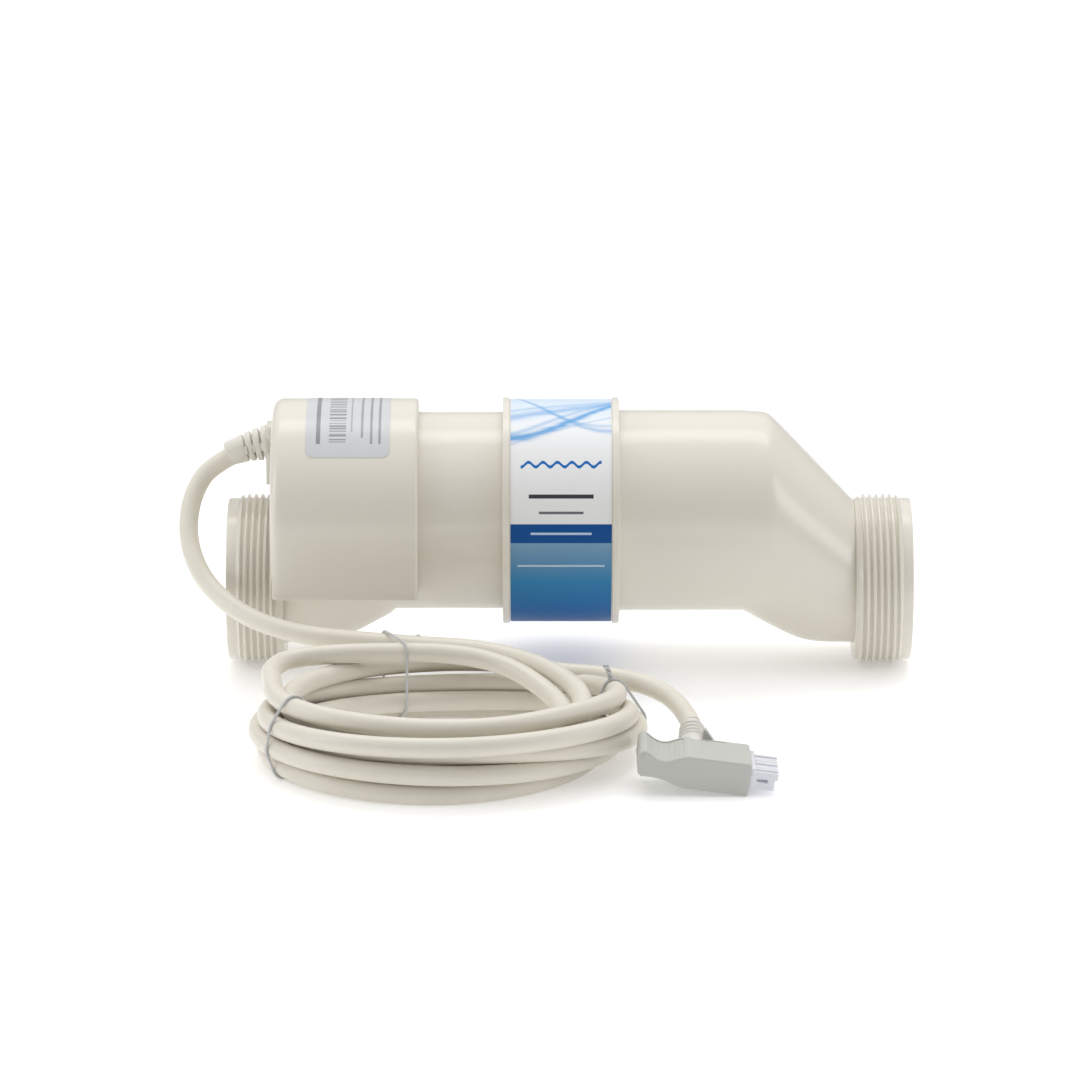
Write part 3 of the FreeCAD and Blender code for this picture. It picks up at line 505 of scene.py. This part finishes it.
# ----------------------------------------------------------- mesh building
def mesh_piece(name, bm, slot, nodes, sharp=40):
    """Finish a bmesh as a shaded piece that rides on the body."""
    bmesh.ops.remove_doubles(bm, verts=bm.verts, dist=2e-6)
    bmesh.ops.recalc_face_normals(bm, faces=bm.faces)
    limit = math.radians(sharp)
    flat = [face for face in bm.faces if len(face.verts) > 4]
    for face in bm.faces:
        face.smooth = True
    if flat:
        for face in bmesh.ops.triangulate(bm, faces=flat, ngon_method="EAR_CLIP")["faces"]:
            face.smooth = False
    for edge in bm.edges:
        edge.smooth = not edge.is_manifold or edge.calc_face_angle(0) < limit
    data = bpy.data.meshes.new(name)
    bm.to_mesh(data)
    bm.free()
    obj = bpy.data.objects.new(name, data)
    bpy.context.scene.collection.objects.link(obj)
    return add_piece(obj, slot, nodes)


def add_piece(obj, slot, nodes):
    """Paint a piece, fix it to the body and let it stand for its CAD nodes."""
    paint(obj, slot)
    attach(obj, "root")
    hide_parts(*nodes)
    return obj


def add_grid(bm, rows, around=True, ring=False, caps=False):
    """Quads between rows of points in millimetres.

    around closes each row, ring joins the last row to the first, and caps fills
    the first and last rows.
    """
    grid = [[bm.verts.new(Vector(p) * MM) for p in row] for row in rows]
    count = len(grid[0])
    pairs = list(zip(grid, grid[1:])) + ([(grid[-1], grid[0])] if ring else [])
    for low, high in pairs:
        for i in range(count if around else count - 1):
            j = (i + 1) % count
            bm.faces.new((low[i], low[j], high[j], high[i]))
    if caps:
        bm.faces.new(grid[0])
        bm.faces.new(list(reversed(grid[-1])))
    return grid


# ---------------------------------------------------------------- housings
SHOULDER_X = 114.7
COLLAR_X = 163.9
HALF_LENGTH = 196.85
SLOPE_END = (53.15, 41.85)
NECK_R = 37.5
UNION_BORE_R = 31.5
LAND_R = 46.6
PITCH = 3.81
THREAD_X = (COLLAR_X + 1.2, COLLAR_X + 27.2)
TUBE_BORE_R = 51.0
CABLE_TUBE_R = 56.75
SOCKET_R = 56.95
PLAIN_TUBE_R = 57.85
BOSS_Z = 106
# where the offset end's outline is drawn, from the tube to the collar
STATIONS = [104, 107, 110, 112, 113.2, 114.2, 115, 116, 117.5, 120,
            124, 128, 132, 136, 140, 145, 151, 157, 162]


def ease(value, width):
    """A ramp that bends softly at zero."""
    return 0.5 * (value + math.sqrt(value * value + width * width))


def end_section(x, tube_r, shrink=0.0):
    """The offset end's outline at distance x: slope circle and neck circle, blended."""
    run = min(1.0, ease(x - SHOULDER_X, 4.0) / (COLLAR_X - SHOULDER_X))
    slope_z = TUBE_AXIS_Z + (SLOPE_END[0] - TUBE_AXIS_Z) * run
    slope_r = tube_r + (SLOPE_END[1] - tube_r) * run - shrink
    neck_z = UNION_Z + 0.557 * ease(134.7 - x, 9.0)
    neck_r = NECK_R - shrink
    points = []
    for i in range(ROUND):
        angle = 2 * math.pi * i / ROUND
        y, z = math.cos(angle), math.sin(angle)
        lead = (slope_z * z + slope_r) - (neck_z * z + neck_r)
        t = max(0.0, min(1.0, 0.5 + lead / 7.0))
        share = t * t * (3 - 2 * t)
        centre = slope_z * share + neck_z * (1 - share)
        radius = slope_r * share + neck_r * (1 - share)
        points.append((x, radius * y, centre + radius * z))
    return points


def circle_row(x, radius, z):
    turn = [2 * math.pi * i / ROUND for i in range(ROUND)]
    return [(x, radius * math.cos(a), z + radius * math.sin(a)) for a in turn]


def thread_rows(start, end, first):
    """Rows that follow the helix of the thread from x = start to x = end."""
    profile = [(-1.62, 0.0), (-1.42, 0.16), (-0.62, 2.0), (-0.40, 2.2),
               (0.40, 2.2), (0.62, 2.0), (1.42, 0.16), (1.62, 0.0)]
    turns = int((end - start) / PITCH) + 2
    rows = []
    for turn in range(-1, turns):
        for off, height in profile:
            row = []
            for i in range(ROUND + 1):
                x = first + (turn + i / ROUND) * PITCH + off
                x = max(start, min(end, x))
                fade = min(1.0, (x - start) / 3.4, (end - x) / 3.4)
                radius = LAND_R + min(height, 2.7 * max(0.0, fade))
                angle = 2 * math.pi * i / ROUND
                row.append((x, radius * math.cos(angle), UNION_Z + radius * math.sin(angle)))
            rows.append(row)
    return rows


def housing(name, slot, node, side, tube_r, head):
    """One half of the body; head lists (x, radius) of its joint end on the tube axis."""
    bm = bmesh.new()
    outer = [circle_row(x, r, TUBE_AXIS_Z) for x, r in head]
    outer += [end_section(x, tube_r) for x in STATIONS + [COLLAR_X]]
    for x, inset in ((0.0, 1.1), (0.25, 0.5), (0.9, 0.0)):
        outer.append(circle_row(COLLAR_X + x, LAND_R - inset, UNION_Z))
    thread_start, thread_end = THREAD_X
    outer.append(circle_row(thread_start, LAND_R, UNION_Z))
    add_grid(bm, outer)
    add_grid(bm, thread_rows(thread_start, thread_end, thread_start), around=False)
    lip = [(thread_end, LAND_R), (HALF_LENGTH - 1.0, LAND_R), (HALF_LENGTH - 0.3, LAND_R - 0.35),
           (HALF_LENGTH, LAND_R - 1.1), (HALF_LENGTH, UNION_BORE_R + 1.2),
           (HALF_LENGTH - 0.4, UNION_BORE_R + 0.4), (HALF_LENGTH - 1.2, UNION_BORE_R),
           (COLLAR_X + 0.5, UNION_BORE_R)]
    rows = [circle_row(x, r, UNION_Z) for x, r in lip]
    rows += [end_section(x, TUBE_BORE_R + 5, 5.0) for x in reversed(STATIONS + [COLLAR_X - 1])]
    for x, radius in ((100, TUBE_BORE_R), (head[0][0], TUBE_BORE_R), head[0]):
        rows.append(circle_row(x, radius, TUBE_AXIS_Z))
    add_grid(bm, rows)
    if side < 0:
        for vert in bm.verts:
            vert.co.x = -vert.co.x
    if node == "cable_end_housing":
        add_boss(bm)
    return mesh_piece(name, bm, slot, [node], sharp=32)


def add_boss(bm):
    """The closed round boss that carries the terminals, under the cover."""
    boss = [(-112, 0.1), (-112, 25.0), (-144, 26.0), (-145, 25.0), (-145, 0.1)]
    turn = [2 * math.pi * i / 64 for i in range(64)]
    add_grid(bm, [[(x, r * math.cos(a), BOSS_Z + r * math.sin(a)) for a in turn] for x, r in boss], caps=True)


BELL = (-38.4, 28.3)
BELL_R = 64.05
RIB_R = 65.2
RIB_WIDTH = 4


def rib(x0, x1, rise_from):
    """Profile of one rounded rib on the bell from x0 to x1."""
    return [(x0, rise_from), (x0, RIB_R - 0.7), (x0 + 0.2, RIB_R - 0.2), (x0 + 0.8, RIB_R),
            (x1 - 0.8, RIB_R), (x1 - 0.2, RIB_R - 0.2), (x1, RIB_R - 0.7)]


left_head = [(-22.0, 56.2)] + [(x, CABLE_TUBE_R) for x in (-21.6, 0, 40, 80, 100)]
housing("cable_end_shell", "cable_end_plastic", "cable_end_housing", -1, CABLE_TUBE_R, left_head)

right_head = [(22.0, SOCKET_R), (-37.6, SOCKET_R), (-38.4, 57.6)]
right_head += rib(BELL[0], BELL[0] + RIB_WIDTH, 60.0)
right_head += [(BELL[0] + RIB_WIDTH, BELL_R), (BELL[1] - RIB_WIDTH, BELL_R)]
right_head += rib(BELL[1] - RIB_WIDTH, BELL[1], BELL_R + 0.1)
right_head += [(BELL[1], 58.9), (BELL[1] + 0.3, 58.2)]
right_head += [(x, PLAIN_TUBE_R) for x in (BELL[1] + 1.1, 60, 90, 100)]
housing("plain_end_shell", "plain_end_plastic", "plain_end_housing", 1, PLAIN_TUBE_R, right_head)


# ------------------------------------------------------------------- cover
COVER_X = (-170.7, -86.5)
COVER_R = 64.7
COVER_WALL = 3.0
COVER_BOTTOM = 53.0
THREAD_HOLE_R = 50.3
LABEL_T = 0.2
END_ROUND = 6.5
LIP_ROUND = 2.6
RIM_ROUND = 0.9


def arc_row(x, radius, z):
    """Part of a circle above the cover's lower edge, from the front to the rear."""
    low = math.asin((COVER_BOTTOM - z) / radius)
    turn = [low + (math.pi - 2 * low) * i / 120 for i in range(121)]
    return [(x, -radius * math.cos(a), z + radius * math.sin(a)) for a in turn]


def hood_row(x, radius, rim):
    """The cover's outline at x: up the front, over the round top, down the rear."""
    side = [(radius - rim, 0.0), (radius - rim * 0.3, rim * 0.3), (radius, rim)]
    side += [(radius, rim + (TUBE_AXIS_Z - COVER_BOTTOM - rim) * k / 10) for k in range(1, 10)]
    row = [(x, -y, COVER_BOTTOM + z) for y, z in side]
    turn = [math.pi * k / 96 for k in range(97)]
    row += [(x, -radius * math.cos(a), TUBE_AXIS_Z + radius * math.sin(a)) for a in turn]
    return row + [(x, y, COVER_BOTTOM + z) for y, z in reversed(side)]


def make_cover():
    """The terminal cover: outside, right wall, inside and left wall in one ring of rows."""
    left, right = COVER_X
    quarter = [math.radians(a) for a in (0, 11, 23, 34, 45, 56, 67, 79, 90)]
    rows = []
    for a in quarter:
        x, inset = left + END_ROUND * (1 - math.cos(a)), END_ROUND * (1 - math.sin(a))
        rows.append(hood_row(x, COVER_R - inset, RIM_ROUND))
    rows += [hood_row(x, COVER_R, RIM_ROUND) for x in (-150, -130, -110, right - LIP_ROUND - 2)]
    for a in reversed(quarter):
        x, inset = right - LIP_ROUND * (1 - math.cos(a)), LIP_ROUND * (1 - math.sin(a))
        rows.append(hood_row(x, COVER_R - inset, RIM_ROUND))
    rows += [arc_row(x, SOCKET_R, TUBE_AXIS_Z) for x in (right - 0.4, right - COVER_WALL)]
    inside = COVER_R - COVER_WALL
    rows += [hood_row(x, inside, 0.0) for x in (right - COVER_WALL, -130, left + COVER_WALL)]
    rows += [arc_row(x, THREAD_HOLE_R, UNION_Z) for x in (left + COVER_WALL, left)]
    bm = bmesh.new()
    grid = add_grid(bm, rows, around=False, ring=True)
    bm.faces.new([row[0] for row in grid])
    bm.faces.new([row[-1] for row in reversed(grid)])
    return mesh_piece("cover_shell", bm, "cover_plastic", ["terminal_cover"], sharp=50)


make_cover()


def rounded_label(name, slot, node, x0, x1, radius, up0, up1, corner):
    """A thin wrapped film with rounded corners; up0 and up1 in degrees from the front."""
    bm = bmesh.new()
    steps = [0, 0.15, 0.5, 1.1, 2.0, 3.2, corner]
    inner, outer = [], []
    for rows, r in ((inner, radius), (outer, radius + LABEL_T)):
        for x in [x0 + s for s in steps] + [x1 - s for s in reversed(steps)]:
            near = max(0.0, corner - min(x - x0, x1 - x))
            cut = (corner - math.sqrt(corner ** 2 - near ** 2)) / radius
            low, high = math.radians(up0) + cut, math.radians(up1) - cut
            turn = [low + (high - low) * i / 48 for i in range(49)]
            rows.append([(x, -r * math.cos(a), TUBE_AXIS_Z + r * math.sin(a)) for a in turn])
    add_grid(bm, outer, around=False)
    add_grid(bm, list(reversed(inner)), around=False)
    for edge in ((outer[0], inner[0]), (inner[-1], outer[-1])):
        add_grid(bm, edge, around=False)
    for end in (0, -1):
        add_grid(bm, [[row[end] for row in outer], [row[end] for row in inner]], around=False)
    return mesh_piece(name, bm, slot, [node])


rounded_label("data_label_film", "data_label_film", "data_label", *DATA_LABEL_X, 64.75, 42, 138, 4.5)


# ------------------------------------------------------------- cable gland
COVER_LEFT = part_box("terminal_cover")[0].x / MM
GLAND_Z = 129.8
GLAND_CORE_R = 6.0
FLANGE_Z = 123.75
RIB_COLUMNS = 72


def gland_path(s):
    """Centre and direction of the curved strain relief, s from the cover."""
    x, z, steps = COVER_LEFT, GLAND_Z, 24
    for k in range(steps):
        lean = math.radians(8.0 + 17.0 * (s * (k + 0.5) / steps) / 24.5)
        x -= math.cos(lean) * s / steps
        z -= math.sin(lean) * s / steps
    lean = math.radians(8.0 + 17.0 * s / 24.5)
    return Vector((x, 0, z)), Vector((-math.cos(lean), 0, -math.sin(lean)))


def ribbed_tube(bm, path, profile):
    """Rows round a path; profile holds (s, radius, radius of the webs)."""
    rows = []
    for s, radius, web in profile:
        centre, ahead = path(s)
        side = Vector((0, 1, 0)) if abs(ahead.y) < 0.5 else Vector((1, 0, 0))
        up = side.cross(ahead).normalized()
        side = ahead.cross(up)
        row = []
        for i in range(RIB_COLUMNS):
            angle = 2 * math.pi * i / RIB_COLUMNS
            share = 1 / (1 + math.exp(-(abs(math.cos(angle)) - 0.955) * 160))
            r = radius + (web - radius) * share
            row.append(centre + (side * math.cos(angle) + up * math.sin(angle)) * r)
        rows.append(row)
    add_grid(bm, rows, caps=True)


def rib_profile(ribs, core, start, end):
    """Rounded ribs with gaps down to the core; webs bridge the gaps."""
    profile = [(start, ribs[0][2] - 1.0)]
    for n, (s0, s1, r0, r1) in enumerate(ribs):
        profile += [(s0, r0 - 0.7), (s0 + 0.25, r0 - 0.15), (s0 + 0.7, r0)]
        profile += [(s1 - 0.7, r1), (s1 - 0.25, r1 - 0.15), (s1, r1 - 0.7)]
        if n + 1 < len(ribs):
            profile += [(s1, core), (ribs[n + 1][0], core)]
    profile.append((end, CORD_R + 0.15))
    web = ribs[1][3]
    return [(s, radius, web if radius == core else radius) for s, radius in profile]


def make_gland():
    """Slotted strain relief on a thin upright flange."""
    bm = bmesh.new()
    ribs = [(0.0, 3.4, 10.3, 10.1), (4.5, 8.0, 9.5, 9.3), (9.1, 12.4, 8.8, 8.6), (13.5, 24.5, 8.2, 7.1)]
    ribbed_tube(bm, gland_path, rib_profile(ribs, GLAND_CORE_R, -1.0, 24.6))
    outline = [(-9, 108.5), (-8.4, 107), (-7, 106.5), (7, 106.5), (8.4, 107), (9, 108.5),
               (9, 139), (8.4, 140.5), (7, 141), (-7, 141), (-8.4, 140.5), (-9, 139)]
    rows = []
    for x, inset in ((3.0, 0), (-0.8, 0), (-1.3, 0.3), (-1.4, 0.8)):
        narrower, lower = 1 - inset / 9, 1 - inset / 17
        rows.append([(COVER_LEFT + x, y * narrower, FLANGE_Z + (z - FLANGE_Z) * lower) for y, z in outline])
    add_grid(bm, rows, caps=True)
    return mesh_piece("gland", bm, "gland_plastic", ["cable_gland"], sharp=50)


gland = make_gland()

# -------------------------------------------------------------------- plug
PLUG_DEPTH = 38.0
PLUG_HEIGHT = 18.5
PLUG_TILT = Matrix.Rotation(math.radians(7.5), 3, "Y")
NOSE = Vector((94.7, -268.0, 0))


def plug_place(x, y, z):
    """A point given in the plug's own level frame, moved to where it lies."""
    return NOSE + PLUG_TILT @ Vector((x, y, z))


def curve_through(points, count):
    """Evenly numbered points on a smooth curve through a few given ones."""
    spots = []
    for i in range(count + 1):
        t = i / count * (len(points) - 1)
        spots.append(tuple(between([p[axis] for p in points], t) for axis in range(2)))
    return spots


def corner_arc(x, z, radius, first):
    """Points of a quarter circle about (x, z), starting at an angle in degrees."""
    turn = [math.radians(first + 15 * k) for k in range(7)]
    return [(x + radius * math.cos(a), z + radius * math.sin(a)) for a in turn]


def plug_outline():
    """Side view of the plug, from under the nose round to the belly, with a kind per point."""
    top = PLUG_HEIGHT
    scoop = [(-34.5, top), (-39.6, top - 1.7), (-44.4, top - 3.7), (-48.0, top - 4.1),
             (-52.0, top - 3.0), (-55.2, top - 1.0), (-57.6, top + 0.1), (-58.8, top - 0.1)]
    back = [(-58.8, top - 0.1), (-60.3, top - 1.2), (-61.0, top - 3.4), (-60.8, top * 0.52),
            (-60.9, top * 0.40), (-60.2, top * 0.28), (-58.4, top * 0.21)]
    belly = [(-58.4, top * 0.21), (-51.6, top * 0.22), (-45.6, top * 0.165), (-40.8, top * 0.08),
             (-36.0, 0.0)]
    outline = [(x, 0.0, "plain") for x in (-30, -20, -10)]
    outline += [(x, z, "plain") for x, z in corner_arc(-1.6, 1.6, 1.6, -90)]
    outline += [(x, z, "plain") for x, z in [(0, top / 2)] + corner_arc(-1.6, top - 1.6, 1.6, 0)]
    outline += [(x, top, "slit" if -31 < x < -13 else "plain")
                for x in (-6, -12.9, -13.1, -18, -22, -26, -30.9, -31.1)]
    outline += [(x, z, "scoop") for x, z in curve_through(scoop, 96)[:-1]]
    outline += [(x, z, "plain") for x, z in curve_through(back, 18)[:-1]]
    outline += [(x, z, "plain") for x, z in curve_through(belly, 20)]
    return outline


def make_plug_body():
    """A bevelled side-view outline drawn out in depth, with thumb ribs and a slit."""
    outline = plug_outline()
    count = len(outline)
    normals = []
    for i in range(count):
        x0, z0, _ = outline[i - 1]
        x1, z1, _ = outline[(i + 1) % count]
        size = math.hypot(x1 - x0, z1 - z0) or 1
        normals.append(((z1 - z0) / size, -(x1 - x0) / size))
    rows = []
    depths = [(0.0, 1.1), (0.1, 0.65), (0.42, 0.24)]
    depths += [(y, 0.0) for y in (1.1, 2.4, 2.9, 3.4, 18, 33.4, 34.3, 34.4, 35.3, 35.4, 36.8)]
    depths += [(37.58, 0.24), (37.9, 0.65), (PLUG_DEPTH, 1.1)]
    for y, inset in depths:
        row = []
        for (x, z, kind), (nx, nz) in zip(outline, normals):
            lift = -inset
            if kind == "scoop" and -56.5 < x < -36.5 and 3.0 < y < 35.4:
                lift += -0.55 + 0.22 * max(0.0, math.sin((x + 36.5) * 2 * math.pi / 1.35))
            if kind == "slit" and 34.4 <= y <= 35.3:
                lift -= 1.3
            row.append(plug_place(x + nx * lift, y, z + nz * lift))
        rows.append(row)
    bm = bmesh.new()
    add_grid(bm, rows, caps=True)
    gusset = [(-26.0, 15.0), (-26.0, 23.4), (-24.4, 22.9), (-19.6, 17.6), (-19.6, 15.0)]
    add_grid(bm, [[plug_place(x, y, z) for x, z in gusset] for y in (37.5, 43.0)], caps=True)
    return mesh_piece("plug_shell", bm, "plug_plastic", ["plug_body"], sharp=34)


def softened_copy(name, node, slot, width):
    """A CAD node's shape with its flat faces merged and every edge rounded."""
    bm = bmesh.new()
    bm.from_mesh(frame["nodes"][node].data)
    bmesh.ops.remove_doubles(bm, verts=bm.verts, dist=2e-6)
    bmesh.ops.dissolve_limit(bm, angle_limit=math.radians(2), verts=bm.verts, edges=bm.edges)
    edges = [e for e in bm.edges if e.is_manifold and e.calc_face_angle(0) > math.radians(30)]
    rounding = {"offset": width * MM, "segments": 3, "profile": 0.5, "clamp_overlap": True}
    bmesh.ops.bevel(bm, geom=edges, affect="EDGES", **rounding)
    return mesh_piece(name, bm, slot, [node], sharp=60)


RELIEF_ROOT = Vector((66.4, -230.0, 14.2))
RELIEF_TIP = Vector((66.0, -206.0, 21.5))


def relief_path(s):
    """Centre and direction of the plug's straight strain relief, s from its root."""
    ahead = (RELIEF_TIP - RELIEF_ROOT).normalized()
    return RELIEF_ROOT + ahead * s, ahead


def make_relief():
    """Tapered strain relief with four soft ribs."""
    profile = [(-2.0, 9.0), (1.0, 8.8), (4.5, 8.5), (6.6, 8.35)]
    for n in range(4):
        s = 7.0 + 3.9 * n
        r = 8.0 - 0.42 * n
        profile += [(s, r - 0.75), (s + 0.35, r - 0.7), (s + 0.8, r - 0.05), (s + 1.35, r + 0.3),
                    (s + 2.25, r + 0.3), (s + 2.9, r - 0.1), (s + 3.3, r - 0.7)]
    profile += [(22.8, 6.0), (24.4, 5.85), (25.0, 5.55)]
    bm = bmesh.new()
    ribbed_tube(bm, relief_path, [(s, r, r) for s, r in profile])
    return mesh_piece("plug_relief", bm, "plug_boot", ["plug_strain_relief"], sharp=70)


plug = make_plug_body()
relief = make_relief()
insulator = softened_copy("plug_insulator_block", "plug_insulator", "insulator_plastic", 0.35)


# -------------------------------------------------------------------- ties
WIRE_R = 0.8


def strands_at(angle):
    """Where the cord crosses the half plane at this angle: (distance, height)."""
    out = Vector((math.cos(math.radians(angle)), math.sin(math.radians(angle))))
    flat = cord_line[:, :2] - np.array(COIL_CENTRE)
    along = flat @ np.array(out)
    across = flat @ np.array((-out.y, out.x))
    found = []
    for i in range(len(flat) - 1):
        if along[i] > 20 and across[i] * across[i + 1] < 0:
            found.append((along[i], cord_line[i, 2]))
    return found


def hull(points):
    """Convex outline of flat points, anticlockwise."""
    points = sorted(set(points))
    chains = []
    for ordered in (points, points[::-1]):
        chain = []
        for p in ordered:
            while len(chain) > 1:
                (ax, ay), (bx, by) = chain[-2:]
                if (bx - ax) * (p[1] - ay) - (by - ay) * (p[0] - ax) > 0:
                    break
                chain.pop()
            chain.append(p)
        chains.append(chain[:-1])
    return chains[0] + chains[1]


def wire_spline(data, points, closed=False):
    spline = data.splines.new("NURBS")
    spline.points.add(len(points) - 1)
    for knot, place in zip(spline.points, points):
        knot.co = (*(Vector(place) * MM), 1)
    spline.order_u = 3
    spline.use_cyclic_u = closed
    spline.use_endpoint_u = not closed


def make_tie(name, node, angle, knot_share, tail, nearest, farthest=112):
    """A coated wire drawn round the strands, with its two ends twisted together."""
    out = Vector((math.cos(math.radians(angle)), math.sin(math.radians(angle)), 0))
    centre = Vector((*COIL_CENTRE, 0))
    rim = CORD_R + WIRE_R + 0.15
    ring = []
    for distance, height in strands_at(angle):
        if nearest < distance < farthest:
            for i in range(20):
                a = 2 * math.pi * i / 20
                z = max(WIRE_R, height + rim * math.sin(a))
                ring.append((round(distance + rim * math.cos(a), 3), round(z, 3)))
    outline = hull(ring)
    size = [math.dist(outline[i], outline[i - 1]) for i in range(len(outline))]
    loop = []
    for i, (distance, height) in enumerate(outline):
        pieces = max(1, round(size[i] / 5))
        d0, h0 = outline[i - 1]
        for k in range(1, pieces + 1):
            f = k / pieces
            loop.append((d0 + (distance - d0) * f, h0 + (height - h0) * f))
    data = bpy.data.curves.new(name, "CURVE")
    data.dimensions = "3D"
    data.bevel_depth = WIRE_R * MM
    data.bevel_resolution = 3
    data.use_fill_caps = True
    wire_spline(data, [centre + out * d + Vector((0, 0, z)) for d, z in loop], closed=True)
    middle = sum(z for _, z in loop) / len(loop)
    upper = sorted(p for p in loop if p[1] > middle)
    near, high = upper[round((len(upper) - 1) * knot_share)]
    knot = centre + out * near + Vector((0, 0, high + WIRE_R))
    along = Vector(tail)
    length = along.length
    ahead = along.normalized()
    side = ahead.cross(Vector((0, 0, 1))).normalized()
    up = side.cross(ahead)
    for phase in (0, math.pi):
        strand = []
        for k in range(41):
            t = k / 40
            spin = phase + t * 2 * math.pi * length / 5.5
            bow = Vector((0, 0, math.sin(t * math.pi) * 1.4))
            spread = WIRE_R * (1.0 + (0.9 * max(0, t - 0.85) / 0.15 if phase else 0))
            strand.append(knot + along * t + bow + (side * math.cos(spin) + up * math.sin(spin)) * spread)
        wire_spline(data, strand)
    obj = bpy.data.objects.new(name, data)
    bpy.context.scene.collection.objects.link(obj)
    return add_piece(obj, "tie_coating", [node])


ties = [
    make_tie("tie_back_wire", "tie_back", 113.0, 0.92, (22, 3, 5), 40),
    make_tie("tie_left_wire", "tie_left", 203.0, 0.02, (5, 1, 0.5), 40),
    make_tie("tie_right_wire", "tie_right", 10.0, 0.45, (-3, 6, 6), 72),
]

# -------------------------------------------------------- cord, painted, fixed to the body, CAD cords hidden
add_piece(cord, "cable_jacket", ["cord_lead", "cord_tail", "cord_coil"])


# --------------------------------------------------------- floor and light
def make_floor():
    """A plain pale floor with a faint mottle and a little light of its own."""
    bm = bmesh.new()
    size = 12000
    steps = [-size, -1200, 0, 1200, size]
    add_grid(bm, [[(x, y, 0) for x in steps] for y in steps], around=False)
    data = bpy.data.meshes.new("floor")
    bm.to_mesh(data)
    bm.free()
    floor = bpy.data.objects.new("floor", data)
    bpy.context.scene.collection.objects.link(floor)
    p = Paint("floor_paint")
    colour = p.mix(p.noise(3, 2), tint(247, 247, 247), tint(243, 243, 243))
    p.shader.inputs["Emission Color"].default_value = (1, 1, 1, 1)
    floor.data.materials.append(p.finish(colour, p.span(p.noise(40, 2), 0.55, 0.65), Emission_Strength=0.26))


def area_light(name, power, width, height, place, aim):
    data = bpy.data.lights.new(name, "AREA")
    data.shape = "RECTANGLE"
    data.size = width
    data.size_y = height
    data.energy = power
    lamp = bpy.data.objects.new(name, data)
    lamp.location = place
    lamp.rotation_euler = (Vector(aim) - Vector(place)).to_track_quat("-Z", "Y").to_euler()
    bpy.context.scene.collection.objects.link(lamp)


def make_world():
    """A soft room: bright overhead, dim at the level of the floor, brighter behind."""
    world = bpy.data.worlds.new("studio")
    world.use_nodes = True
    bpy.context.scene.world = world
    tree = world.node_tree
    coords = tree.nodes.new("ShaderNodeTexCoord")
    split = tree.nodes.new("ShaderNodeSeparateXYZ")
    lean = tree.nodes.new("ShaderNodeMath")
    lean.operation = "MULTIPLY_ADD"
    lean.inputs[1].default_value = 0.32
    ramp = tree.nodes.new("ShaderNodeValToRGB")
    tree.links.new(coords.outputs["Generated"], split.inputs[0])
    tree.links.new(split.outputs["Y"], lean.inputs[0])
    tree.links.new(split.outputs["Z"], lean.inputs[2])
    tree.links.new(lean.outputs[0], ramp.inputs["Fac"])
    stops = ramp.color_ramp.elements
    stops[0].position, stops[0].color = 0.0, (0.10, 0.10, 0.10, 1)
    stops[1].position, stops[1].color = 0.95, (1, 1, 1, 1)
    middle = stops.new(0.45)
    middle.color = (0.36, 0.36, 0.36, 1)
    back = tree.nodes["Background"]
    tree.links.new(ramp.outputs["Color"], back.inputs["Color"])
    back.inputs["Strength"].default_value = 1.33


make_floor()
make_world()
area_light("top_box", 3.6, 1.4, 0.4, (0.0, 0.40, 1.25), (-0.02, -0.05, 0.05))
area_light("left_box", 4.2, 0.5, 0.9, (-1.5, -0.4, 0.6), (-0.15, -0.05, 0.06))
area_light("right_box", 3.2, 0.5, 0.9, (1.5, -0.5, 0.6), (0.15, -0.05, 0.06))
bpy.context.scene.view_settings.view_transform = "Standard"
